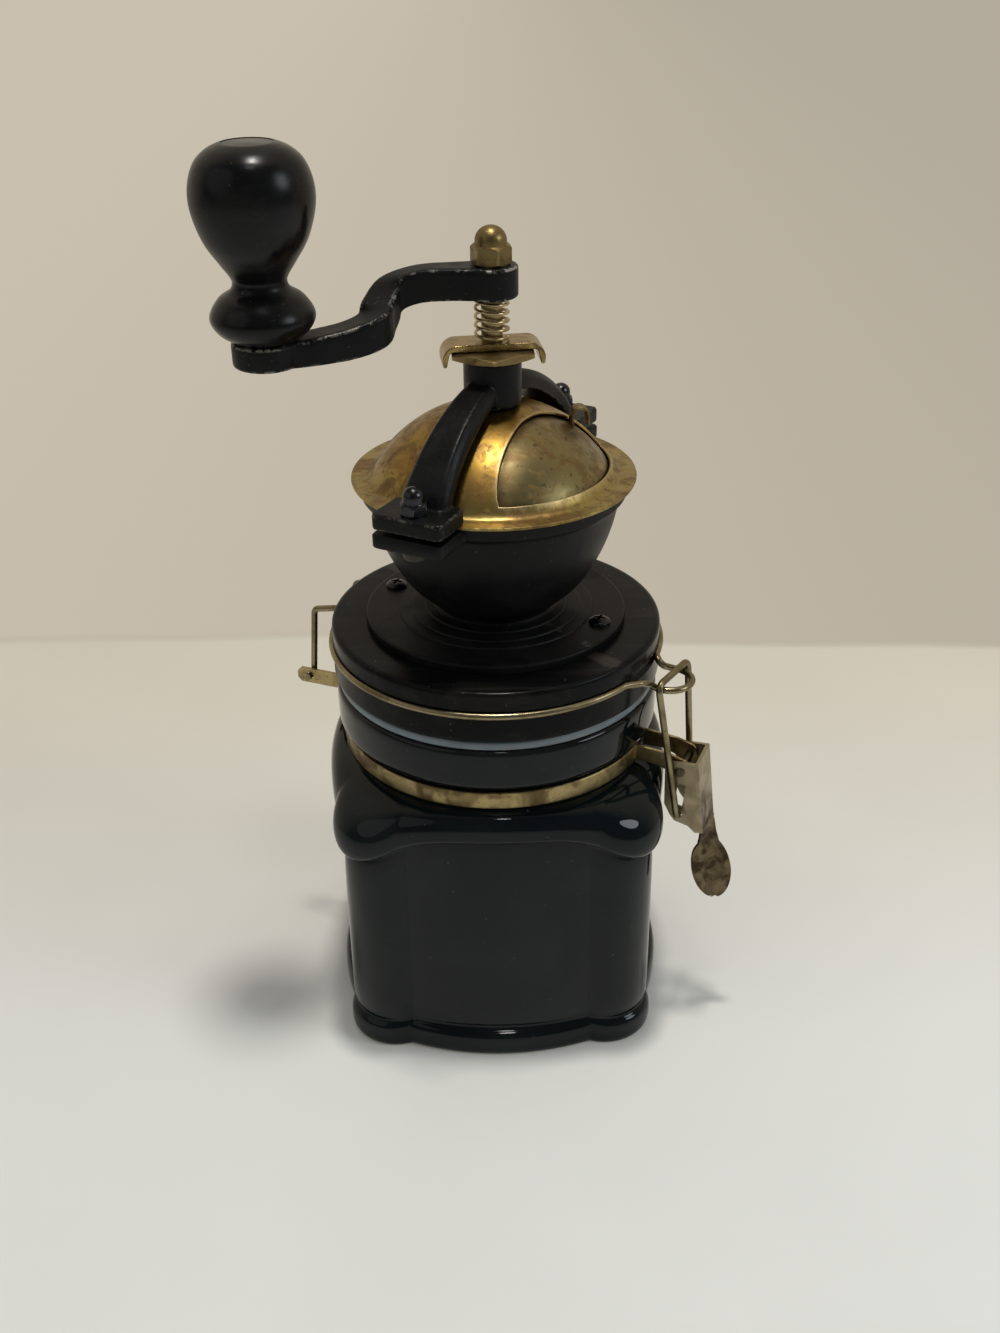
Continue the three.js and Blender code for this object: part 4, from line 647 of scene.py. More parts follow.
def lacquer_finish(name, gloss, streaks, shine):
    """Black lacquer over turned wood: the grain shows as faint streaks, and handling dulls it in patches."""
    material, tree, shader = finish_tree(name, {"Specular IOR Level": shine})
    streak = clouds(tree, 60, 6, stretch=(0.25, 4.0, 2.2), turn=(0, 0, 0.5), rough=0.65)
    grain = ramp(tree, streak, 0.45, 0.75)
    colour = coat(tree, (0.0030, 0.0032, 0.0036, 1), grain, streaks, (0.026, 0.023, 0.019, 1))
    dust = ramp(tree, clouds(tree, 900, 2), 0.72, 0.76)
    colour = coat(tree, colour, dust, 0.25, (0.20, 0.19, 0.17, 1))
    colour = coat(tree, colour, ridges(tree, 0.53, 0.60), 0.25, (0.09, 0.08, 0.065, 1))
    tree.links.new(colour, shader.inputs["Base Color"])
    patch = ramp(tree, clouds(tree, 26, 5, swirl=1.0), 0.35, 0.75)
    tree.links.new(ramp(tree, patch, 0, 1, gloss + 0.04, gloss + 0.24), shader.inputs["Roughness"])
    relief(tree, shader, streak, 0.05, 0.35)
    return material


groove = WIRE + 0.3
open_half = math.sqrt(groove ** 2 - (RING_RADIUS - LID_RADIUS) ** 2)  # half of the groove's mouth
groove_line = [(RING_RADIUS - groove * math.sin(a), RING_HEIGHT - groove * math.cos(a))
               for a in (math.radians(12 + 156 * k / 10) for k in range(11))]
lid_line = rounded([
    (CHUTE, PLUG_LOW, 0.5), (PLUG_RADIUS, PLUG_LOW, 0.8), (PLUG_RADIUS, LID_LOW, 0.15),
    (LID_RADIUS, LID_LOW, 1.3), (LID_RADIUS, RING_HEIGHT - open_half - 0.1, 0.25), *groove_line,
    (LID_RADIUS, RING_HEIGHT + open_half + 0.1, 0.25), (LID_RADIUS, LID_TOP, 1.7), (CHUTE, LID_TOP, 0.3)],
    joined=True, steps=5)
lid_lacquer = lacquer_finish("lid_lacquer", gloss=0.11, streaks=0.45, shine=0.09)
lid = make("wooden_lid", turned(lid_line, 160, joined=True), lid_lacquer)
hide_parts("lid")
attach(lid, "lid_assembly")

# ---------------------------------------------------------------------------------------------
# Mill body: one iron casting, enamelled black. A base plate with three fine rings carries a
# short neck and a bowl, whose two ears take the bridge. Two cross-head screws hold it on the lid.
# ---------------------------------------------------------------------------------------------
PLATE_RADIUS, PLATE_TOP, RING_STEPS, STEP = 39.3, 134.4, (29.3, 25.6, 21.3), 0.5
NECK_RADIUS, BOWL_RADIUS, BOWL_WALL, BOWL_RIM = 17.8, 38.7, 3.0, 176.5
SEAT_RADIUS, SEAT_TOP = 15.2, 146.2  # the bore that takes the burrs
# radius, and share of the way from the neck's foot to the rim
BOWL_OUTSIDE = ((18.5, 0.06), (21.8, 0.12), (26.9, 0.25), (31.6, 0.45), (34.6, 0.64), (36.5, 0.83),
                (37.2, 0.875))
BOWL_INSIDE = ((33.6, 0.85), (31.6, 0.64), (28.6, 0.48), (23.9, 0.36))
EAR_THICK, EAR_HALF, EAR_OUTER, BOLT_CIRCLE = 4.2, 10.8, 51.7, 46.5
BRIDGE_TURN = -117.0
SCREW_CIRCLE, SCREW_TURN, SCREW_HEAD, SCREW_HIGH = 33.5, -23.0, 3.2, 1.9
SLOT_HALF, SLOT_ARM, SLOT_DEEP = 0.42, 1.75, 0.9


def flowing(points, per=6):
    """Points along a smooth curve through the given ones."""
    out = []
    for i in range(len(points) - 1):
        a, b, c, d = (Vector(points[min(max(k, 0), len(points) - 1)]) for k in (i - 1, i, i + 1, i + 2))
        for k in range(per):
            t = k / per
            out.append(tuple(0.5 * (2 * b + (c - a) * t + (2 * a - 5 * b + 4 * c - d) * t * t
                                    + (3 * b - a - 3 * c + d) * t ** 3)))
    return out + [tuple(points[-1])]


def iron_finish(name, gloss, grain, chips, edge_from):
    """Black enamel on cast iron: a fine orange-peel surface, scuffed patches and chipped, brighter edges."""
    material, tree, shader = finish_tree(name, {"Specular IOR Level": 0.14})
    peel = clouds(tree, 850, 3)
    patch = ramp(tree, clouds(tree, 55, 5, swirl=0.6), 0.35, 0.75)
    colour = blend_colour(tree, patch, (0.0036, 0.0039, 0.0042, 1), (0.0085, 0.0085, 0.0085, 1))
    crumbs = ramp(tree, clouds(tree, 420, 4, rough=0.7), 0.50, 0.57)
    edges = part_of(tree, ridges(tree, edge_from, edge_from + 0.025), crumbs)
    chipped = part_of(tree, edges, chips)
    colour = blend_colour(tree, chipped, colour, (0.36, 0.33, 0.28, 1))
    dust = ramp(tree, clouds(tree, 1100, 2), 0.73, 0.77)
    colour = coat(tree, colour, dust, 0.3, (0.25, 0.24, 0.22, 1))
    tree.links.new(colour, shader.inputs["Base Color"])
    tree.links.new(part_of(tree, chipped, 0.6), shader.inputs["Metallic"])
    tree.links.new(ramp(tree, patch, 0, 1, gloss, gloss + 0.16), shader.inputs["Roughness"])
    relief(tree, shader, peel, grain, 0.6)
    return material


black_iron = iron_finish("black_enamelled_iron", gloss=0.40, grain=0.07, chips=0.12, edge_from=0.60)
neck_low = PLATE_TOP + 3 * STEP
rise = BOWL_RIM - neck_low
plate_line = [(SEAT_RADIUS, LID_TOP, 0.3), (PLATE_RADIUS, LID_TOP, 0.3), (PLATE_RADIUS, PLATE_TOP, 0.8)]
for i, r in enumerate(RING_STEPS):
    plate_line += [(r + 0.25, PLATE_TOP + i * STEP, 0.12), (r, PLATE_TOP + (i + 1) * STEP, 0.35)]
bowl_line = flowing([(NECK_RADIUS + 1.0, neck_low), (NECK_RADIUS + 0.1, neck_low + 0.8)] + [
    (r, neck_low + rise * share) for r, share in BOWL_OUTSIDE], 6)
rim_line = rounded([bowl_line[-1], (BOWL_RADIUS, neck_low + rise * 0.905, 0.5),
                    (BOWL_RADIUS + 0.3, BOWL_RIM, 0.6), (BOWL_RADIUS - BOWL_WALL, BOWL_RIM, 0.4),
                    (33.6, neck_low + rise * 0.85)])[1:]
inner_line = flowing([(r, neck_low + rise * share) for r, share in BOWL_INSIDE] + [(13.6, 148.4)], 3)
body_line = rounded(plate_line + [bowl_line[0]])[:-1] + bowl_line[:-1] + rim_line[:-1] + inner_line + [
    (12.6, SEAT_TOP), (SEAT_RADIUS, SEAT_TOP)]
body_line[0] = (SEAT_RADIUS, LID_TOP)
ear_line = rounded([(33.5, -EAR_HALF + 0.2), (EAR_OUTER, -EAR_HALF, 1.8), (EAR_OUTER, EAR_HALF, 1.8),
                    (33.5, EAR_HALF - 0.2)])
ear_levels = ((BOWL_RIM - EAR_THICK, 0.6), (BOWL_RIM - EAR_THICK + 0.25, 0.2), (BOWL_RIM - EAR_THICK + 0.7, 0),
              (BOWL_RIM - 0.5, 0), (BOWL_RIM - 0.1, 0.3))
ear_middle = 42.0
ear_reach = EAR_OUTER - ear_middle
casting_ear = skin([[(ear_middle + (x - ear_middle) * (1 - inset / ear_reach), y * (1 - inset / EAR_HALF), z)
                     for x, y in ear_line] for z, inset in ear_levels], caps=True)
mill = make("cast_mill_body", both(turned(body_line, 160, joined=True), moved(casting_ear, BRIDGE_TURN),
                                   moved(casting_ear, BRIDGE_TURN + 180)), black_iron)
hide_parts("mill_body")
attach(mill, "lid_assembly")


def as_plain_mesh(piece):
    """Turns a piece into a plain mesh of the shape that its modifiers give it, and takes them off."""
    bpy.context.view_layer.update()
    done = bpy.data.meshes.new_from_object(piece.evaluated_get(bpy.context.evaluated_depsgraph_get()))
    piece.modifiers.clear()
    used, piece.data = piece.data, done
    done.name = piece.name
    bpy.data.meshes.remove(used)


def set_inputs(piece, tree, **values):
    """Puts a Geometry Nodes tree on a piece, with its named inputs."""
    nodes = piece.modifiers.new(tree.name, "NODES")
    nodes.node_group = tree
    for item in tree.interface.items_tree:
        if item.item_type == "SOCKET" and item.in_out == "INPUT" and item.name in values:
            nodes[item.identifier] = values[item.name]
    return piece


def new_tree(name, **inputs):
    """A Geometry Nodes tree with a geometry in and out, and inputs named for its sizes."""
    tree = bpy.data.node_groups.new(name, "GeometryNodeTree")
    tree.interface.new_socket("Geometry", in_out="INPUT", socket_type="NodeSocketGeometry")
    tree.interface.new_socket("Geometry", in_out="OUTPUT", socket_type="NodeSocketGeometry")
    for label, kind in inputs.items():
        tree.interface.new_socket(label, in_out="INPUT", socket_type=kind)
    return tree, tree.nodes.new("NodeGroupInput").outputs, tree.nodes.new("NodeGroupOutput").inputs


def end_tree(tree, given, result, shape):
    """Ends a Geometry Nodes tree: real faces, in the given finish."""
    real = add(tree, "GeometryNodeRealizeInstances", {"Geometry": shape}).outputs[0]
    finished = add(tree, "GeometryNodeSetMaterial", {"Geometry": real, "Material": given["Finish"]}).outputs[0]
    tree.links.new(finished, result["Geometry"])
    return tree


def bolt_circle_tree():
    """Sets copies of a piece that stands on the axis out on a circle, each turned to face outwards."""
    tree, given, result = new_tree("bolt_circle", Count="NodeSocketInt", Radius="NodeSocketFloat",
                                   Turn="NodeSocketFloat", Finish="NodeSocketMaterial")
    index = add(tree, "GeometryNodeInputIndex").outputs[0]
    step = add(tree, "ShaderNodeMath", {0: 2 * math.pi, 1: given["Count"]}, operation="DIVIDE").outputs[0]
    own = add(tree, "ShaderNodeMath", {0: index, 1: step, 2: given["Turn"]},
              operation="MULTIPLY_ADD").outputs[0]
    faced = add(tree, "ShaderNodeCombineXYZ", {"Z": own}).outputs[0]
    start = add(tree, "ShaderNodeCombineXYZ", {"X": given["Radius"]}).outputs[0]
    spot = add(tree, "ShaderNodeVectorRotate", {"Vector": start, "Angle": own},
               rotation_type="Z_AXIS").outputs[0]
    laid = add(tree, "GeometryNodePoints", {"Count": given["Count"], "Position": spot}).outputs[0]
    set_out = add(tree, "GeometryNodeInstanceOnPoints", {
        "Points": laid, "Instance": given["Geometry"], "Rotation": faced}).outputs[0]
    return end_tree(tree, given, result, set_out)


bolt_circle = bolt_circle_tree()
dark_steel = worn_steel("blackened_steel", (0.050, 0.050, 0.054, 1), (0.16, 0.16, 0.16, 1), rough=0.20)


def screw_head():
    """A low domed head, with the outline of a cross slot laid into its top."""
    rings = (1.9, 2.3, 2.7, 2.95, 3.1, SCREW_HEAD)
    half, arm = SLOT_HALF, SLOT_ARM
    cross = [(arm, -half), (arm, half), (half, half), (half, arm), (-half, arm), (-half, half),
             (-arm, half), (-arm, -half), (-half, -half), (-half, -arm), (half, -arm), (half, -half)]
    flat = [Vector(p) for p in cross]
    flat += [Vector(polar(r, 15 * k + 7.5)) for r in rings for k in range(24)]
    flat += [Vector(polar(1.1, 45 + 90 * k)) for k in range(4)]
    spots, _, triangles, *_ = delaunay_2d_cdt(flat, [(k, (k + 1) % 12) for k in range(12)], [], 0, 1e-6)

    def height(p):
        return PLATE_TOP + SCREW_HIGH * math.sqrt(max(0.12, 1 - (p.length / (SCREW_HEAD + 0.12)) ** 2 * 0.9))
    points = [(p.x, p.y, height(p)) for p in spots]
    edge = [i for i, p in enumerate(spots) if abs(p.length - SCREW_HEAD) < 1e-4]
    edge.sort(key=lambda i: math.atan2(spots[i].y, spots[i].x))
    count = len(points)
    points += [(*spots[i], PLATE_TOP) for i in edge] + [(0, 0, PLATE_TOP)]
    faces = [tuple(f) for f in triangles]
    for k, i in enumerate(edge):
        n = (k + 1) % len(edge)
        faces += [(i, edge[n], count + n, count + k), (count + k, count + n, len(points) - 1)]
    return points, faces


def sink_cross(screw):
    """Pushes the cross in the head's top down into a slot."""
    work = bmesh.new()
    work.from_mesh(screw.data)
    in_cross = []
    for face in work.faces:
        middle = face.calc_center_median() / MM
        x, y = abs(middle.x), abs(middle.y)
        if middle.z > PLATE_TOP + 0.6 and min(x, y) < SLOT_HALF and max(x, y) < SLOT_ARM:
            in_cross.append(face)
    sunk = bmesh.ops.extrude_face_region(work, geom=in_cross)["geom"]
    bmesh.ops.delete(work, geom=in_cross, context="FACES_ONLY")
    corners = [v for v in sunk if isinstance(v, bmesh.types.BMVert)]
    bmesh.ops.translate(work, verts=corners, vec=(0, 0, -SLOT_DEEP * MM))
    work.to_mesh(screw.data)
    work.free()
    screw.data.set_sharp_from_angle(angle=math.radians(30))


screws = make("mill_screws", screw_head(), dark_steel, sharp=30)
sink_cross(screws)
set_inputs(screws, bolt_circle, Count=2, Radius=SCREW_CIRCLE * MM, Turn=math.radians(SCREW_TURN),
           Finish=dark_steel)
as_plain_mesh(screws)
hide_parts("mill_screw_1", "mill_screw_2")
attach(screws, "lid_assembly")

# The burrs sit out of sight in the casting: a carrier and a toothed ring, and a toothed cone on the shaft.
for name in ("burr_spider", "ring_burr", "cone_burr"):
    cad[name].material_slots[0].material = steel

# ---------------------------------------------------------------------------------------------
# Dome and bean door: sheet brass, spun to a dome with a flat flange and cut open on one side.
# Under it a leaf of the same curve turns about the shaft, and a hooked tab on it moves it.
# ---------------------------------------------------------------------------------------------
DOME_SPHERE, DOME_CENTRE, DOME_SHEET = 41.5, 156.8, 0.9
BEND_INNER, BEND_OUTER, FLANGE_RADIUS, FLANGE_TOP, MIDDLE_HOLE = 34.9, 37.1, 41.3, 177.6, 7.0
OPENING_TURN, OPENING_HALF, OPENING_INNER, OPENING_OUTER = -33.5, 55.0, 12.3, 34.0
OPENING_CURVE = 2.4  # more makes the corners of its inner edge tighter
DOOR_SPHERE, DOOR_SHEET, DOOR_HALF, DOOR_HUB, DOOR_OUTER = 40.2, 0.8, 58.0, 10.4, 34.6
TAB_TURN, TAB_INNER, TAB_OUTER, TAB_WIDTH, TAB_TOP = 42.5, 22.4, 27.8, 4.6, 195.7


def sector(half_angle, inner, outer, turn, steps=60):
    """Plan of the bean opening: a sector whose inner edge rounds into its two straight sides."""
    outline = []
    for i in range(steps + 1):
        outline.append(polar(outer, turn + (-1 + 2 * i / steps) * half_angle * 0.985))
    for i in range(steps + 1):
        share = math.cos(math.pi * i / steps)
        r = inner + (outer - 1.5 - inner) * (1 - math.sqrt(max(0, 1 - abs(share) ** OPENING_CURVE)))
        outline.append(polar(r, turn + share * half_angle))
    return outline


def inside(point, outline):
    """True for a point inside the outline on the plan."""
    x, y = point
    odd = False
    for (x1, y1), (x2, y2) in zip(outline, outline[1:] + outline[:1]):
        if (y1 > y) != (y2 > y) and x < (x2 - x1) * (y - y1) / (y2 - y1) + x1:
            odd = not odd
    return odd


def sheet_over(height, radii, steps, edges, keep):
    """Triangles over the plan between closed edges, kept where keep says so and raised to height(radius)."""
    flat, links = [], []
    for edge in edges:
        first = len(flat)
        flat += [Vector(p) for p in edge]
        links += [(first + k, first + (k + 1) % len(edge)) for k in range(len(edge))]
    near = [p.copy() for p in flat]
    for ring, r in enumerate(radii):
        for k in range(steps):
            p = Vector(polar(r, 360 * (k + 0.5 * (ring % 2)) / steps))
            if min((p - q).length_squared for q in near) > 0.45:
                flat.append(p)
    spots, _, triangles, *_ = delaunay_2d_cdt(flat, links, [], 0, 1e-5)
    faces = []
    for face in triangles:
        middle = sum((spots[i] for i in face), Vector((0, 0))) / 3
        if keep(middle):
            faces.append(tuple(face))
    used = sorted({i for face in faces for i in face})
    new = {old: k for k, old in enumerate(used)}
    points = [(spots[i].x, spots[i].y, height(spots[i].length)) for i in used]
    return points, [tuple(new[i] for i in face) for face in faces]


def upward(piece):
    """Turns every face of an open sheet upwards."""
    work = bmesh.new()
    work.from_mesh(piece.data)
    bmesh.ops.recalc_face_normals(work, faces=work.faces)
    if sum(face.normal.z * face.calc_area() for face in work.faces) < 0:
        bmesh.ops.reverse_faces(work, faces=work.faces)
    work.to_mesh(piece.data)
    work.free()


def thicken(piece, sheet):
    """Gives a sheet its thickness, downwards from its upper face."""
    wall = piece.modifiers.new("thickness", "SOLIDIFY")
    wall.thickness, wall.offset, wall.use_even_offset = sheet * MM, -1, True


def circle(radius, steps):
    """Points (x, y) on a circle about the axis."""
    return [polar(radius, 360 * k / steps) for k in range(steps)]


def near_edge(piece, name, outline, full, none):
    """Stores how close each point is to an outline on the plan: 1 up to the distance full, 0 from none on."""
    line = [Vector(p) for p in outline]
    share = piece.data.attributes.new(name, "FLOAT", "POINT")
    for vertex in piece.data.vertices:
        spot = Vector(vertex.co[:2]) / MM
        far = math.sqrt(min((spot - p).length_squared for p in line))
        share.data[vertex.index].value = max(0.0, min(1.0, (none - far) / (none - full)))


def dome_height(r):
    """The height of the dome's upper face at a radius: a sphere, a hollow bend, and the flange."""
    meet, flat = BEND_INNER, BEND_OUTER
    if r <= meet:
        return DOME_CENTRE + math.sqrt(DOME_SPHERE ** 2 - r ** 2)
    if r >= flat:
        return FLANGE_TOP
    rise = math.sqrt(DOME_SPHERE ** 2 - meet ** 2)
    t, slope = (r - meet) / (flat - meet), -meet / rise * (flat - meet)
    start = DOME_CENTRE + rise
    return ((2 * t ** 3 - 3 * t ** 2 + 1) * start + (t ** 3 - 2 * t ** 2 + t) * slope
            + (3 * t ** 2 - 2 * t ** 3) * FLANGE_TOP)


def spun_brass(name, clean, low_tone, stained, rough):
    """Old sheet brass: faint rings from spinning, brown stains, rubbed marks, pits, and a paler tone low down.
    The edge of the bean opening is rubbed bright, with a painted highlight along it on the dome, and painted
    shade lies along it on the door, under the dome's edge."""
    material, tree, shader = finish_tree(name, {"Metallic": 1.0})
    right, back, up = place_parts(tree)
    flat = add(tree, "ShaderNodeCombineXYZ", {0: right, 1: back}).outputs[0]
    out = add(tree, "ShaderNodeVectorMath", {0: flat}, operation="LENGTH").outputs["Value"]
    around = add(tree, "ShaderNodeMath", {0: back, 1: right}, operation="ARCTAN2").outputs[0]
    slow = add(tree, "ShaderNodeMath", {0: around, 1: 0.00015}, operation="MULTIPLY").outputs[0]
    spun_at = add(tree, "ShaderNodeCombineXYZ", {0: out, 1: slow}).outputs[0]
    rings = clouds(tree, 1500, 2, at=spun_at)
    stain = ramp(tree, clouds(tree, 52, 6, swirl=1.4, rough=0.62), 0.44, 0.70)
    marks = ramp(tree, clouds(tree, 260, 6, swirl=0.5, rough=0.7), 0.50, 0.72)
    pits = ramp(tree, clouds(tree, 520, 4, rough=0.6), 0.60, 0.68)
    mottle = ramp(tree, clouds(tree, 150, 6, swirl=0.7, rough=0.70), 0.45, 0.60)
    scuffs = ramp(tree, clouds(tree, 170, 7, swirl=0.4, rough=0.75), 0.56, 0.66)
    low = ramp(tree, up, 0.1875, 0.1775)
    colour = blend_colour(tree, low, clean, low_tone)
    colour = coat(tree, colour, stain, 0.8, stained)
    colour = coat(tree, colour, mottle, 0.72, (0.155, 0.090, 0.034, 1))
    colour = coat(tree, colour, marks, 0.3, (0.40, 0.265, 0.075, 1))
    colour = coat(tree, colour, scuffs, 0.5, (0.46, 0.32, 0.105, 1))
    colour = coat(tree, colour, pits, 0.75, (0.085, 0.06, 0.035, 1))
    # Painted shade: the door is darkened along the opening's edge, where it lies under the dome's edge.
    painted_edge_shade = add(tree, "ShaderNodeAttribute", attribute_name="painted_edge_shade").outputs["Fac"]
    # Rubbed bright and painted highlight: the dome is lightened along the opening's cut edge.
    rubbed = add(tree, "ShaderNodeAttribute", attribute_name="rubbed").outputs["Fac"]
    colour = coat(tree, colour, painted_edge_shade, 0.85, (0.035, 0.024, 0.014, 1))
    colour = coat(tree, colour, rubbed, 0.6, (0.66, 0.52, 0.27, 1))
    tree.links.new(colour, shader.inputs["Base Color"])
    worn = sum_of(tree, part_of(tree, stain, 0.12), part_of(tree, mottle, 0.13))
    duller = sum_of(tree, ramp(tree, marks, 0, 1, rough - 0.03, rough + 0.09), worn)
    tree.links.new(duller, shader.inputs["Roughness"])
    dented = sum_of(tree, part_of(tree, pits, 0.5), part_of(tree, mottle, 0.55))
    worked = sum_of(tree, part_of(tree, rings, 0.25), dented, "SUBTRACT")
    relief(tree, shader, worked, 0.06, 0.6)
    return material


dome_finish = spun_brass("aged_dome_brass", clean=(0.34, 0.205, 0.038, 1), low_tone=(0.36, 0.275, 0.09, 1),
                         stained=(0.19, 0.10, 0.042, 1), rough=0.35)
door_finish = spun_brass("aged_door_brass", clean=(0.255, 0.205, 0.095, 1), low_tone=(0.25, 0.21, 0.09, 1),
                         stained=(0.14, 0.10, 0.045, 1), rough=0.33)
opening = sector(OPENING_HALF, OPENING_INNER, OPENING_OUTER, OPENING_TURN)
dome_radii = [8 + 1.25 * k for k in range(21)]
dome_radii += [34.0, 34.6, 35.0, 35.4, 35.8, 36.2, 36.6, 37.0, 37.5, 38.6, 40.2]  # closer at the bend
dome = make("brass_dome", sheet_over(
    dome_height, dome_radii, 150, [circle(FLANGE_RADIUS, 180), circle(MIDDLE_HOLE, 48), opening],
    lambda p: MIDDLE_HOLE < p.length < FLANGE_RADIUS and not inside(p, opening)), dome_finish, sharp=60)
upward(dome)
thicken(dome, DOME_SHEET)
soften(dome, 0.28, 55, 2)
as_plain_mesh(dome)
# Rubbed bright and painted highlight along the opening's edge on the dome.
near_edge(dome, "rubbed", opening, 0.1, 0.55)
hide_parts("dome_cover")
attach(dome, "lid_assembly")

leaf = sector(DOOR_HALF, DOOR_HUB - 2, DOOR_OUTER, OPENING_TURN)
door = make("bean_door", sheet_over(
    lambda r: DOME_CENTRE + math.sqrt(DOOR_SPHERE ** 2 - r ** 2), [8 + 1.4 * k for k in range(19)], 120,
    [circle(DOOR_HUB, 60), circle(MIDDLE_HOLE, 48), leaf],
    lambda p: MIDDLE_HOLE < p.length and (p.length < DOOR_HUB or inside(p, leaf))), door_finish, sharp=60)
upward(door)
thicken(door, DOOR_SHEET)
soften(door, 0.2, 55, 2)
as_plain_mesh(door)
# Painted shade along the opening's edge on the door.
near_edge(door, "painted_edge_shade", opening, 0.2, 2.2)


def arc(x, z, radius, start, end, steps):
    """Points on an arc about a middle, between two angles in degrees."""
    return [(x + out, z + up) for out, up in (
        polar(radius, start + (end - start) * k / steps) for k in range(steps + 1))]


tab_round = (TAB_OUTER - TAB_INNER) / 2
tab_middle = TAB_INNER + tab_round
tab_foot = DOME_CENTRE + math.sqrt((DOOR_SPHERE - DOOR_SHEET) ** 2 - TAB_INNER ** 2) + 0.4
tab_lip = DOME_CENTRE + math.sqrt(DOME_SPHERE ** 2 - (TAB_OUTER - DOOR_SHEET) ** 2) + 2
tab_line = [(TAB_INNER + DOOR_SHEET, tab_foot),
            *arc(tab_middle, TAB_TOP - tab_round, tab_round - DOOR_SHEET, 180, 0, 16),
            (TAB_OUTER - DOOR_SHEET, tab_lip), (TAB_OUTER, tab_lip),
            *arc(tab_middle, TAB_TOP - tab_round, tab_round, 0, 180, 20), (TAB_INNER, tab_foot)]
tab_shape = moved(upright(tab_line, -TAB_WIDTH / 2, TAB_WIDTH / 2), OPENING_TURN + TAB_TURN)
tab = make("door_tab", tab_shape, door_finish, sharp=30)
soften(tab, 0.22, 40, 2)
as_plain_mesh(tab)
for piece in (door, tab):
    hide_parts("hopper_door")
    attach(piece, "door_leaf")
cad["door_washer"].material_slots[0].material = steel

# ---------------------------------------------------------------------------------------------
# Bridge: a black iron casting that spans the dome. Its boss carries the shaft in a brass bush,
# and a bolt with a dark domed nut holds each of its feet on an ear of the mill body.
# ---------------------------------------------------------------------------------------------
BOSS_RADIUS, BOSS_LOW, BOSS_TOP, SPIGOT_RADIUS, SPIGOT_LOW = 8.2, 198.6, 212.0, 6.7, 191.3
BUSH_RADIUS, ARM_TOP, FOOT_LOW, FOOT_TOP, FOOT_INNER = 5.2, 203.2, 177.7, 182.3, 38.0
ARM_HALF, ARM_THICK = (4.6, 7.6), (2.9, 2.4)  # half sizes at the boss and at the foot
ARM_CURVE = 1.55  # 2 would be a plain oval, and less is straighter


def cast(name, shape, material, grain=0.42, rounds=5):
    """Fuses overlapping solids into one, with the soft inner and outer corners of a sand casting."""
    piece = make(name, shape, material)
    fuse = piece.modifiers.new("fuse", "REMESH")
    fuse.mode, fuse.voxel_size = "VOXEL", grain * MM
    calm = piece.modifiers.new("soften", "SMOOTH")
    calm.factor, calm.iterations = 0.5, rounds
    as_plain_mesh(piece)
    piece.data.polygons.foreach_set("use_smooth", [True] * len(piece.data.polygons))
    return piece


def between(start, end, share):
    """The value at a share of the way from start to end."""
    return start + (end - start) * share


def bridge_arm(steps=30):
    """One arm of the bridge: an upright oval quarter from boss to foot, wider and thinner lower down."""
    rings = []
    for i in range(steps + 1):
        share = i / steps
        a = share * math.pi / 2
        x = between(SPIGOT_RADIUS - 1, FOOT_INNER + 3.4, math.sin(a) ** (2 / ARM_CURVE))
        z = between(FOOT_LOW + 1.2, ARM_TOP, max(0, math.cos(a)) ** (2 / ARM_CURVE))
        out, up = math.sin(a) ** 1.2, max(0, math.cos(a)) ** 1.2
        length = math.hypot(out, up)
        half, thick = between(*ARM_HALF, share), between(*ARM_THICK, share)
        section = rounded([(-half, -1, 0.5), (half, -1, 0.5), (half, 0.25, 0.5), (half - 1.6, 1, 1.4),
                           (-half + 1.6, 1, 1.4), (-half, 0.25, 0.5)], joined=True, steps=2, support=9)
        rings.append([(x + t * thick * out / length, y, z + t * thick * up / length) for y, t in section])
    return skin(rings, caps=True)


foot_line = rounded([(FOOT_INNER, -EAR_HALF + 0.4), (EAR_OUTER, -EAR_HALF, 2.2), (EAR_OUTER, EAR_HALF, 2.2),
                     (FOOT_INNER, EAR_HALF - 0.4)])
foot = skin([[(x, y, FOOT_LOW) for x, y in foot_line], [(x, y, FOOT_TOP - 0.5) for x, y in foot_line],
             [(min(x, EAR_OUTER - 0.6), y * 0.955, FOOT_TOP) for x, y in foot_line]], caps=True)
pad = turned([(0, FOOT_TOP - 1), (5.4, FOOT_TOP - 1), (5.0, FOOT_TOP - 0.05), (0, FOOT_TOP - 0.05)], 48)
boss_line = rounded([(BUSH_RADIUS, SPIGOT_LOW), (SPIGOT_RADIUS, SPIGOT_LOW, 0.5),
                     (SPIGOT_RADIUS, BOSS_LOW, 0.2), (BOSS_RADIUS, BOSS_LOW, 0.5),
                     (BOSS_RADIUS, BOSS_TOP, 0.8), (BUSH_RADIUS, BOSS_TOP)])
boss = turned(boss_line, 96, joined=True)
arms = [moved(both(bridge_arm(), foot, moved(pad, by=(BOLT_CIRCLE, 0, 0))), turn) for turn in (0, 180)]
bridge_iron = iron_finish("bridge_iron", gloss=0.34, grain=0.16, chips=0.25, edge_from=0.515)
bridge = cast("cast_bridge", moved(both(boss, *arms), BRIDGE_TURN), bridge_iron)
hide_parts("bridge")
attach(bridge, "lid_assembly")
turned_brass = aged_brass("turned_brass", (0.22, 0.158, 0.064, 1), (0.11, 0.072, 0.032, 1), scale=170,
                          stain_from=0.48, rough=0.33, worn=(0.46, 0.36, 0.18, 1))
cad["shaft_bush"].material_slots[0].material = turned_brass


def hexagon_limit(across, degrees):
    """Distance from the axis to the side of a hexagon in a direction."""
    return across / 2 / math.cos(math.radians((degrees + 30) % 60 - 30))


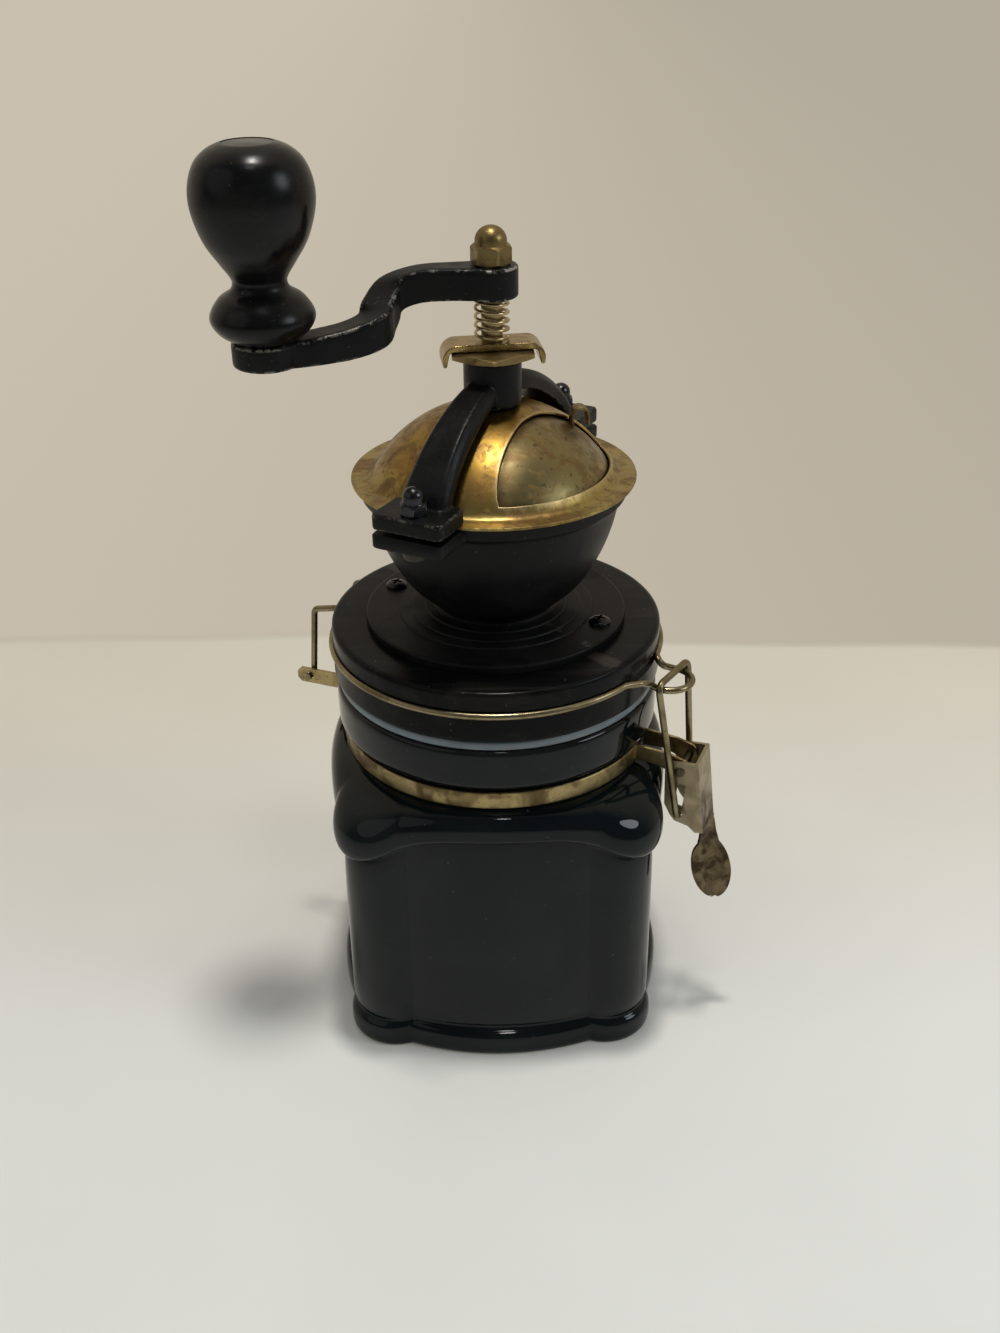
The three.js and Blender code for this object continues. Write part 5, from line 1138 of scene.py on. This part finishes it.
def hexagonal(across, low, high, chamfer, steps=96):
    """Rings of a hexagonal block whose corners are turned off at both ends."""
    corner = across / math.sqrt(3)
    levels = [(low + chamfer * k / 5, across / 2 + (corner - across / 2) * k / 5) for k in range(6)]
    levels += [(high - chamfer * k / 5, across / 2 + (corner - across / 2) * k / 5) for k in range(5, -1, -1)]
    ways = [360 * k / steps for k in range(steps)]
    return [[(*polar(min(hexagon_limit(across, way), limit), way), z) for way in ways] for z, limit in levels]


def domed_nut(across, hex_high, dome_radius, high, low, steps=96):
    """A hexagon with turned-off corners, and on it a short round wall under a nearly round cap."""
    rings = [[(0, 0, low)] * steps] + hexagonal(across, low, low + hex_high, 0.7, steps)
    seat = low + hex_high
    cap_high = dome_radius * 0.95
    side = high - hex_high - cap_high
    profile = [(dome_radius + 0.12, seat + 0.02), (dome_radius, seat + 0.2), (dome_radius, seat + side)]
    for k in range(1, 11):
        out, up = polar(1.0, 9 * k)
        profile.append((dome_radius * max(out, 0), seat + side + cap_high * up))
    rings += [[(x, y, z) for x, y in circle(r, steps)] for r, z in profile]
    return skin(rings)


bridge_nuts = make("bridge_nuts", domed_nut(across=7.0, hex_high=3.2, dome_radius=2.9, high=7.6, low=FOOT_TOP),
                   dark_steel, sharp=28)
set_inputs(bridge_nuts, bolt_circle, Count=2, Radius=BOLT_CIRCLE * MM, Turn=math.radians(BRIDGE_TURN),
           Finish=dark_steel)
as_plain_mesh(bridge_nuts)
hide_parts("bridge_nut_front", "bridge_nut_rear")
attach(bridge_nuts, "lid_assembly")
bolt_steel = worn_steel("bolt_steel", (0.020, 0.019, 0.018, 1), (0.06, 0.052, 0.036, 1), rough=0.45, metal=0.4)
for name in ("bridge_bolt_front", "bridge_bolt_rear"):
    cad[name].material_slots[0].material = bolt_steel

# ---------------------------------------------------------------------------------------------
# Grind adjuster: a thin hexagonal brass nut on the shaft. A bent brass plate drops its two wings
# over the nut's flats, and a brass coil spring under the crank holds the plate down.
# ---------------------------------------------------------------------------------------------
NUT_ACROSS, NUT_LOW, NUT_TOP, NUT_BORE, NUT_TURN = 22.8, 212.3, 214.2, 3.3, 3.0
LOCK_HALF_SPAN, LOCK_THICK, LOCK_HALF, LOCK_BEND, LOCK_LOW, LOCK_TURN = 14.4, 1.9, 5.0, 4.4, 214.5, 7.0
LOCK_INNER, TIP_ROUND, WING_DROP = 1.2, 0.65, 3.9  # the wings reach WING_DROP below the nut's top
SPRING_OUTER, SPRING_WIRE, SPRING_TURNS, SPRING_LOW, SPRING_TOP = 5.0, 0.45, 4.5, 216.7, 228.1

bore = circle(NUT_BORE, 96)
nut_rings = [[(x, y, NUT_LOW) for x, y in bore], *hexagonal(NUT_ACROSS, NUT_LOW, NUT_TOP, 0.45),
             [(x, y, NUT_TOP) for x, y in bore]]
adjuster = make("adjuster_nut", moved(skin(nut_rings, joined=True), NUT_TURN), turned_brass, sharp=28)
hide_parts("adjusting_nut")
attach(adjuster, frame["nodes"]["adjusting_nut"]["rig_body"])

lock_top = LOCK_LOW + LOCK_THICK
tip = NUT_TOP - WING_DROP
half_line = [*arc(LOCK_HALF_SPAN - LOCK_THICK - LOCK_INNER, LOCK_LOW - LOCK_INNER, LOCK_INNER, 90, 0, 8),
             (LOCK_HALF_SPAN - LOCK_THICK + 0.5, tip + 0.8),
             *arc(LOCK_HALF_SPAN - 0.75, tip + TIP_ROUND, TIP_ROUND, 210, 340, 4),
             *arc(LOCK_HALF_SPAN - LOCK_BEND, lock_top - LOCK_BEND, LOCK_BEND, 0, 90, 12)]
lock_line = half_line + [(-x, z) for x, z in reversed(half_line)]
lock_brass = aged_brass("lock_plate_brass", (0.38, 0.27, 0.105, 1), (0.14, 0.09, 0.04, 1), scale=150,
                        stain_from=0.45, rough=0.20, worn=(0.66, 0.52, 0.25, 1))
lock_shape = moved(upright(lock_line, -LOCK_HALF, LOCK_HALF), LOCK_TURN)
lock = make("lock_plate_bent", lock_shape, lock_brass, sharp=30)
soften(lock, 0.35, 40, 3)
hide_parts("lock_plate")
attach(lock, "lock_wings")


def wire_finish(name, clean, dull, rough):
    """Plated wire: the plating has gone patchy, with dark specks and slightly rubbed lengths."""
    material, tree, shader = finish_tree(name, {"Metallic": 1.0})
    patch = ramp(tree, clouds(tree, 95, 4, swirl=0.6), 0.4, 0.68)
    specks = ramp(tree, clouds(tree, 900, 3), 0.64, 0.72)
    colour = blend_colour(tree, patch, clean, dull)
    colour = coat(tree, colour, specks, 0.6, (0.09, 0.075, 0.05, 1))
    tree.links.new(colour, shader.inputs["Base Color"])
    tree.links.new(ramp(tree, patch, 0, 1, rough, rough + 0.15), shader.inputs["Roughness"])
    relief(tree, shader, clouds(tree, 1800, 3), 0.03, 0.5)
    return material


def round_wire(tree, given, line, sides):
    """A smooth tube along a line, with closed ends and the given wire radius."""
    section = add(tree, "GeometryNodeCurvePrimitiveCircle", {
        "Resolution": sides, "Radius": given["Wire"]}).outputs[0]
    tube = add(tree, "GeometryNodeCurveToMesh", {
        "Curve": line, "Profile Curve": section, "Fill Caps": True}).outputs[0]
    return add(tree, "GeometryNodeSetShadeSmooth", {0: tube}).outputs[0]


def coil_tree():
    """A wire coil about the shaft, from its pitch radius, height, turns and wire."""
    tree, given, result = new_tree(
        "coil", Radius="NodeSocketFloat", Height="NodeSocketFloat", Turns="NodeSocketFloat",
        Wire="NodeSocketFloat", Low="NodeSocketFloat", Finish="NodeSocketMaterial")
    line = add(tree, "GeometryNodeCurveSpiral", {
        "Resolution": 56, "Rotations": given["Turns"], "Start Radius": given["Radius"],
        "End Radius": given["Radius"], "Height": given["Height"]}).outputs[0]
    lift = add(tree, "ShaderNodeCombineXYZ", {"Z": given["Low"]}).outputs[0]
    raised = add(tree, "GeometryNodeTransform", {"Geometry": line, "Translation": lift}).outputs[0]
    return end_tree(tree, given, result, round_wire(tree, given, raised, 14))


def bare_piece(name, line=()):
    """A piece without faces, for a Geometry Nodes tree: nothing, or the points of a line joined by edges."""
    mesh = bpy.data.meshes.new(name)
    mesh.from_pydata([Vector(p) * MM for p in line], [(k, k + 1) for k in range(len(line) - 1)], [])
    return placed(name, mesh)


spring_brass = wire_finish("spring_brass", (0.55, 0.44, 0.24, 1), (0.28, 0.21, 0.11, 1), rough=0.25)
spring = set_inputs(
    bare_piece("coil_spring"), coil_tree(), Radius=(SPRING_OUTER - SPRING_WIRE) * MM,
    Height=(SPRING_TOP - SPRING_LOW - 2 * SPRING_WIRE) * MM, Turns=SPRING_TURNS, Wire=SPRING_WIRE * MM,
    Low=(SPRING_LOW + SPRING_WIRE) * MM, Finish=spring_brass)
as_plain_mesh(spring)
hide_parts("lock_spring")
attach(spring, frame["nodes"]["lock_spring"]["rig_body"])
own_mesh(spring)
shaft_plating = wire_finish("plated_shaft", (0.40, 0.31, 0.16, 1), (0.20, 0.145, 0.07, 1), rough=0.3)
cad["shaft"].material_slots[0].material = shaft_plating

# ---------------------------------------------------------------------------------------------
# Crank: an iron casting in black enamel. Its arm swings aside and drops in an S from the hub to
# the eye under the handle, and a worn brass domed nut holds its hub on the shaft.
# ---------------------------------------------------------------------------------------------
CRANK_TURN, REACH, DROP = 198.9, 62.9, 14.0
HUB_RADIUS, HUB_BORE, HUB_LOW, HUB_TOP = 7.4, 3.2, 228.4, 237.2
EYE_RADIUS, EYE_BORE, EYE_HIGH = 9.0, 2.8, 6.8
# share of the reach, sideways, share of the drop, width, height
ARM_LINE = [(.03, 0, 0, 12, 8.8), (.16, -2.6, 0, 9.6, 8.8), (.3, -6.4, .05, 9, 9), (.41, -7.4, .2, 9, 9.4),
            (.485, -3.8, .47, 9.4, 9.6), (.54, .4, .69, 9.6, 9.2), (.645, 1.6, .84, 9.4, 8.6),
            (.77, 1.2, .94, 10, 7.8), (.86, .7, 1, 11.4, 7), (.96, .2, 1, 13, 6.8)]


def crank_arm_shape():
    """The arm as rounded oblong sections along its curve, each square to the curve on the plan."""
    centre = flowing([(share * REACH, side, HUB_TOP - drop * DROP) for share, side, drop, _, _ in ARM_LINE], 5)
    section = flowing([(width, high) for *_, width, high in ARM_LINE], 5)
    rings = []
    for i, ((x, y, z), (width, high)) in enumerate(zip(centre, section)):
        along = Vector(centre[min(i + 1, len(centre) - 1)]) - Vector(centre[max(i - 1, 0)])
        side = Vector((-along.y, along.x, 0)).normalized()
        z, w = min(z, HUB_TOP), width / 2
        outline = rounded([(-w, -high, 1.1), (w, -high, 1.1), (w, 0, 1.3), (-w, 0, 1.3)], joined=True, steps=3,
                          support=9)
        rings.append([(x + side.x * s, y + side.y * s, z + up) for s, up in outline])
    return skin(rings, caps=True)


hub_line = rounded([(HUB_BORE, HUB_LOW), (HUB_RADIUS, HUB_LOW, 0.7), (HUB_RADIUS, HUB_TOP, 0.9),
                    (HUB_BORE, HUB_TOP)])
hub = turned(hub_line, 80, joined=True)
eye_top = HUB_TOP - DROP
eye_line = rounded([(EYE_BORE, eye_top - EYE_HIGH), (EYE_RADIUS, eye_top - EYE_HIGH, 1.1),
                    (EYE_RADIUS, eye_top, 1.0), (EYE_BORE, eye_top)])
eye = turned(eye_line, 96, joined=True)
crank_iron = iron_finish("crank_iron", gloss=0.36, grain=0.16, chips=0.8, edge_from=0.512)
arm = cast("crank_arm_casting", moved(both(crank_arm_shape(), hub, moved(eye, by=(REACH, 0, 0))), CRANK_TURN),
           crank_iron, grain=0.4)
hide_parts("crank_arm")
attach(arm, "crank")
crank_nut_shape = domed_nut(across=10.0, hex_high=5.2, dome_radius=4.4, high=10.3, low=HUB_TOP)
crank_nut = make("crank_domed_nut", moved(crank_nut_shape, CRANK_TURN), turned_brass, sharp=28)
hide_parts("crank_nut")
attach(crank_nut, "crank")

# ---------------------------------------------------------------------------------------------
# Handle: turned hardwood in deep black gloss lacquer. It spins on a steel spindle that is fixed
# in the crank's eye.
# ---------------------------------------------------------------------------------------------
KNOB_LOW, KNOB_HIGH, KNOB_BORE, BORE_DEPTH = 223.5, 49.6, 2.8, 38.0
# radius, and share of the height
KNOB_LINE = [(8.6, 0), (11.9, .046), (13.7, .105), (13.3, .158), (11, .222), (8, .262), (7.1, .3), (7.6, .335),
             (9.8, .402), (13.05, .505), (15.1, .617), (15.95, .722), (15.4, .82), (13.6, .905), (10.9, .957),
             (8.2, .984), (6.6, .9925), (6.2, .990), (0, .992)]

knob_line = [(KNOB_BORE, BORE_DEPTH), (KNOB_BORE, 0.3), (KNOB_BORE + 0.3, 0), (7.6, 0)]
knob_line += flowing([(r, share * KNOB_HIGH) for r, share in KNOB_LINE], 7)
knob_line[-1] = (0, knob_line[-1][1])
knob_shape = moved(turned([(0, BORE_DEPTH)] + knob_line, 128), by=(REACH, 0, KNOB_LOW))
handle_gloss = lacquer_finish("handle_gloss", gloss=0.13, streaks=0.35, shine=0.20)
knob = make("turned_handle", moved(knob_shape, CRANK_TURN), handle_gloss, sharp=50)
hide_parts("knob")
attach(knob, "handle_knob")
cad["knob_spindle"].material_slots[0].material = steel

# ---------------------------------------------------------------------------------------------
# Bail, catch lever and link: plated steel wire bent round the lid with a nose at the front; a
# pressed lever that pivots on the strap; and a wire link that the lever pulls down over the nose.
# ---------------------------------------------------------------------------------------------
HINGE_REACH, HINGE_HEIGHT, LEG_REACH, LEG_TOP, LEG_ANGLE = 65.3, 97.1, 63.2, 121.3, 10.0
NOSE_MIDDLE, NOSE_RADIUS, NOSE_HEIGHT = 55.4, 6.8, 119.1
# the corners before and behind the nose, each a point and its bend radius
INTO_NOSE = (((51, -14.28, 124.4), 2), ((51.9, -8.84, 121.575), 2))
OUT_OF_NOSE = (((52.9, 3.4, 121.3), 1.6), ((51.9, 0.68, 123.9), 1.3))
RING_FROM, RING_TO = 4.2, -20.5  # where the ring starts and ends beside the nose, from the lever
LEVER_HALF, LEVER_FACE, LEVER_LOW = 6.6, 69.2, 71.0
TAB_LONG, TAB_NECK, TAB_HALF, TAB_TWIST, TAB_LEAN, TAB_HOLLOW = 27.5, 3.6, 6.3, 62.0, 4.2, 0.9
LINK_X, LINK_Z, BAR_X, BAR_SKEW, BAR_Z, BAR_HALF = 62.0, 76.2, 56.6, 1.9, 121.46, 9.26


def bent(corners, step=7):
    """The line of a wire bent round corners of (point, bend radius)."""
    line = [Vector(corners[0][0])]
    for (before, _), (here, bend), (after, _) in zip(corners, corners[1:], corners[2:]):
        here = Vector(here)
        inward, outward = (Vector(before) - here).normalized(), (Vector(after) - here).normalized()
        turn = math.pi - inward.angle(outward)
        if not bend or turn < math.radians(2):
            line.append(here)
            continue
        start = here + inward * bend * math.tan(turn / 2)
        centre = here + (inward + outward).normalized() * bend / math.cos(turn / 2)
        axis = inward.cross(outward).normalized()
        steps = max(3, round(math.degrees(turn) / step))
        for k in range(steps + 1):
            line.append(Matrix.Rotation(-turn * k / steps, 3, axis) @ (start - centre) + centre)
    return line + [Vector(corners[-1][0])]


def wire_tree():
    """A round wire of a given radius along the piece's own line, with closed ends."""
    tree, given, result = new_tree("bent_wire", Wire="NodeSocketFloat", Finish="NodeSocketMaterial")
    line = add(tree, "GeometryNodeMeshToCurve", {"Mesh": given["Geometry"]}).outputs[0]
    return end_tree(tree, given, result, round_wire(tree, given, line, 20))


def turn_about(point, degrees):
    """The point turned about the upright axis."""
    return Matrix.Rotation(math.radians(degrees), 3, "Z") @ Vector(point)


def on_leg(reach, height, more=0.0):
    """A point on one of the two legs behind the lid, or further to its side."""
    a = math.radians(LEG_ANGLE)
    return Vector((-reach * math.cos(a), reach * math.sin(a) + more, height))


hinge_from_lever = HINGE_TURN - CLOSURE_TURN
leg_half = LEG_REACH * math.sin(math.radians(LEG_ANGLE))
leg = [(on_leg(HINGE_REACH, HINGE_HEIGHT, WIRE + 0.6 + SHEET + 0.8), 0),
       (on_leg(HINGE_REACH, HINGE_HEIGHT), 1.6), (on_leg(LEG_REACH, LEG_TOP), 2.4),
       (Vector((-RING_RADIUS - 0.4, leg_half, RING_HEIGHT)), 1.6)]
legs = [[(turn_about((p.x, side * p.y, p.z), hinge_from_lever), bend) for p, bend in leg] for side in (-1, 1)]
leg_turn = math.degrees(math.asin((leg_half + 2.2) / RING_RADIUS))


def ring_part(start, end, steps=60):
    """The wire in the lid's groove between two directions, as corners without a bend."""
    return [((x, y, RING_HEIGHT), 0) for x, y in arc(0, 0, RING_RADIUS, start, end, steps)]


nose = [((x, y, NOSE_HEIGHT), 0) for x, y in arc(NOSE_MIDDLE, 0, NOSE_RADIUS, -105, 95, 26)]
bail_line = bent([
    *legs[0], *ring_part(hinge_from_lever - 180 + leg_turn, RING_TO), *INTO_NOSE, *nose, *OUT_OF_NOSE,
    *ring_part(RING_FROM, hinge_from_lever + 180 - leg_turn), *reversed(legs[1])])
bail_line = [turn_about(p, CLOSURE_TURN) for p in bail_line]
plated_wire = wire_finish("plated_wire", (0.29, 0.24, 0.14, 1), (0.16, 0.125, 0.068, 1), rough=0.28)
bent_wire = wire_tree()
bail = set_inputs(bare_piece("wire_bail", bail_line), bent_wire, Wire=WIRE * MM, Finish=plated_wire)
as_plain_mesh(bail)
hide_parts("bail")
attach(bail, "lid_assembly")

lever_finish = aged_brass("worn_lever_plating", (0.175, 0.135, 0.078, 1), (0.060, 0.042, 0.024, 1), scale=190,
                          stain_from=0.36, rough=0.30, worn=(0.42, 0.35, 0.23, 1))
lever = loose_copy("catch_lever", "catch_lever_channel", lever_finish, keep_above=LEVER_LOW - 0.6)
soften(lever, 0.3, 38, 3)


def eased(t):
    """0 up to 0, 1 from 1, and a soft rise between."""
    t = max(0, min(1, t))
    return t ** 2 * (3 - 2 * t)


def thumb_tab(steps=60):
    """The tab narrows under the channel, twists, and widens to a spoon that is a little hollow."""
    corner = [(-1, -0.2), (-0.985, -0.42), (-0.93, -0.56), (-0.8, -0.6), (-0.4, -0.6)]
    lower = corner + [(0, -0.6)] + [(-s, n) for s, n in reversed(corner)]
    section = lower + [(-s, -n) for s, n in lower]
    rings = []
    for i in range(steps + 1):
        # By share of the length, the neck ends at 0.22, the twist at 0.42, and the spoon is widest at 0.62.
        share = i / steps
        z = LEVER_LOW + 1 - share * (TAB_LONG + 1)
        turn = math.radians(TAB_TWIST * eased(share / 0.42))
        oval = math.sqrt(max(0.02, 1 - ((share - 0.62) / 0.385) ** 2))
        start = between(LEVER_HALF - 0.4, TAB_NECK, eased(share / 0.22))
        half = start if share < 0.22 else max(TAB_HALF * oval, TAB_NECK if share < 0.5 else 0)
        lean = LEVER_FACE + SHEET / 2 + TAB_LEAN * share ** 1.2
        across = Vector((math.sin(turn), math.cos(turn), 0))
        normal = Vector((math.cos(turn), -math.sin(turn), 0))
        hollow = TAB_HOLLOW * eased((share - 0.4) / 0.3)
        rings.append([tuple(Vector((lean, 0, z)) + across * s * half + normal * (n + hollow * (s * s - 0.35)))
                      for s, n in section])
    return skin(rings, caps=True)


spoon = make("catch_lever_tab", moved(thumb_tab(), CLOSURE_TURN), lever_finish, sharp=50)
for piece in (lever, spoon):
    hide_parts("catch_lever")
    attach(piece, "lever")

link_ends = [[((LINK_X, sign * (LEVER_HALF - SHEET - 0.2), LINK_Z), 0),
              ((LINK_X, sign * (LEVER_HALF + 0.3 + WIRE), LINK_Z), 1.2),
              ((BAR_X + sign * BAR_SKEW, sign * BAR_HALF, BAR_Z), 2.6)] for sign in (1, -1)]
link_line = [turn_about(p, CLOSURE_TURN) for p in bent(link_ends[0] + link_ends[1][::-1])]
link = set_inputs(bare_piece("wire_link", link_line), bent_wire, Wire=WIRE * MM, Finish=plated_wire)
as_plain_mesh(link)
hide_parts("catch_link")
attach(link, "link")
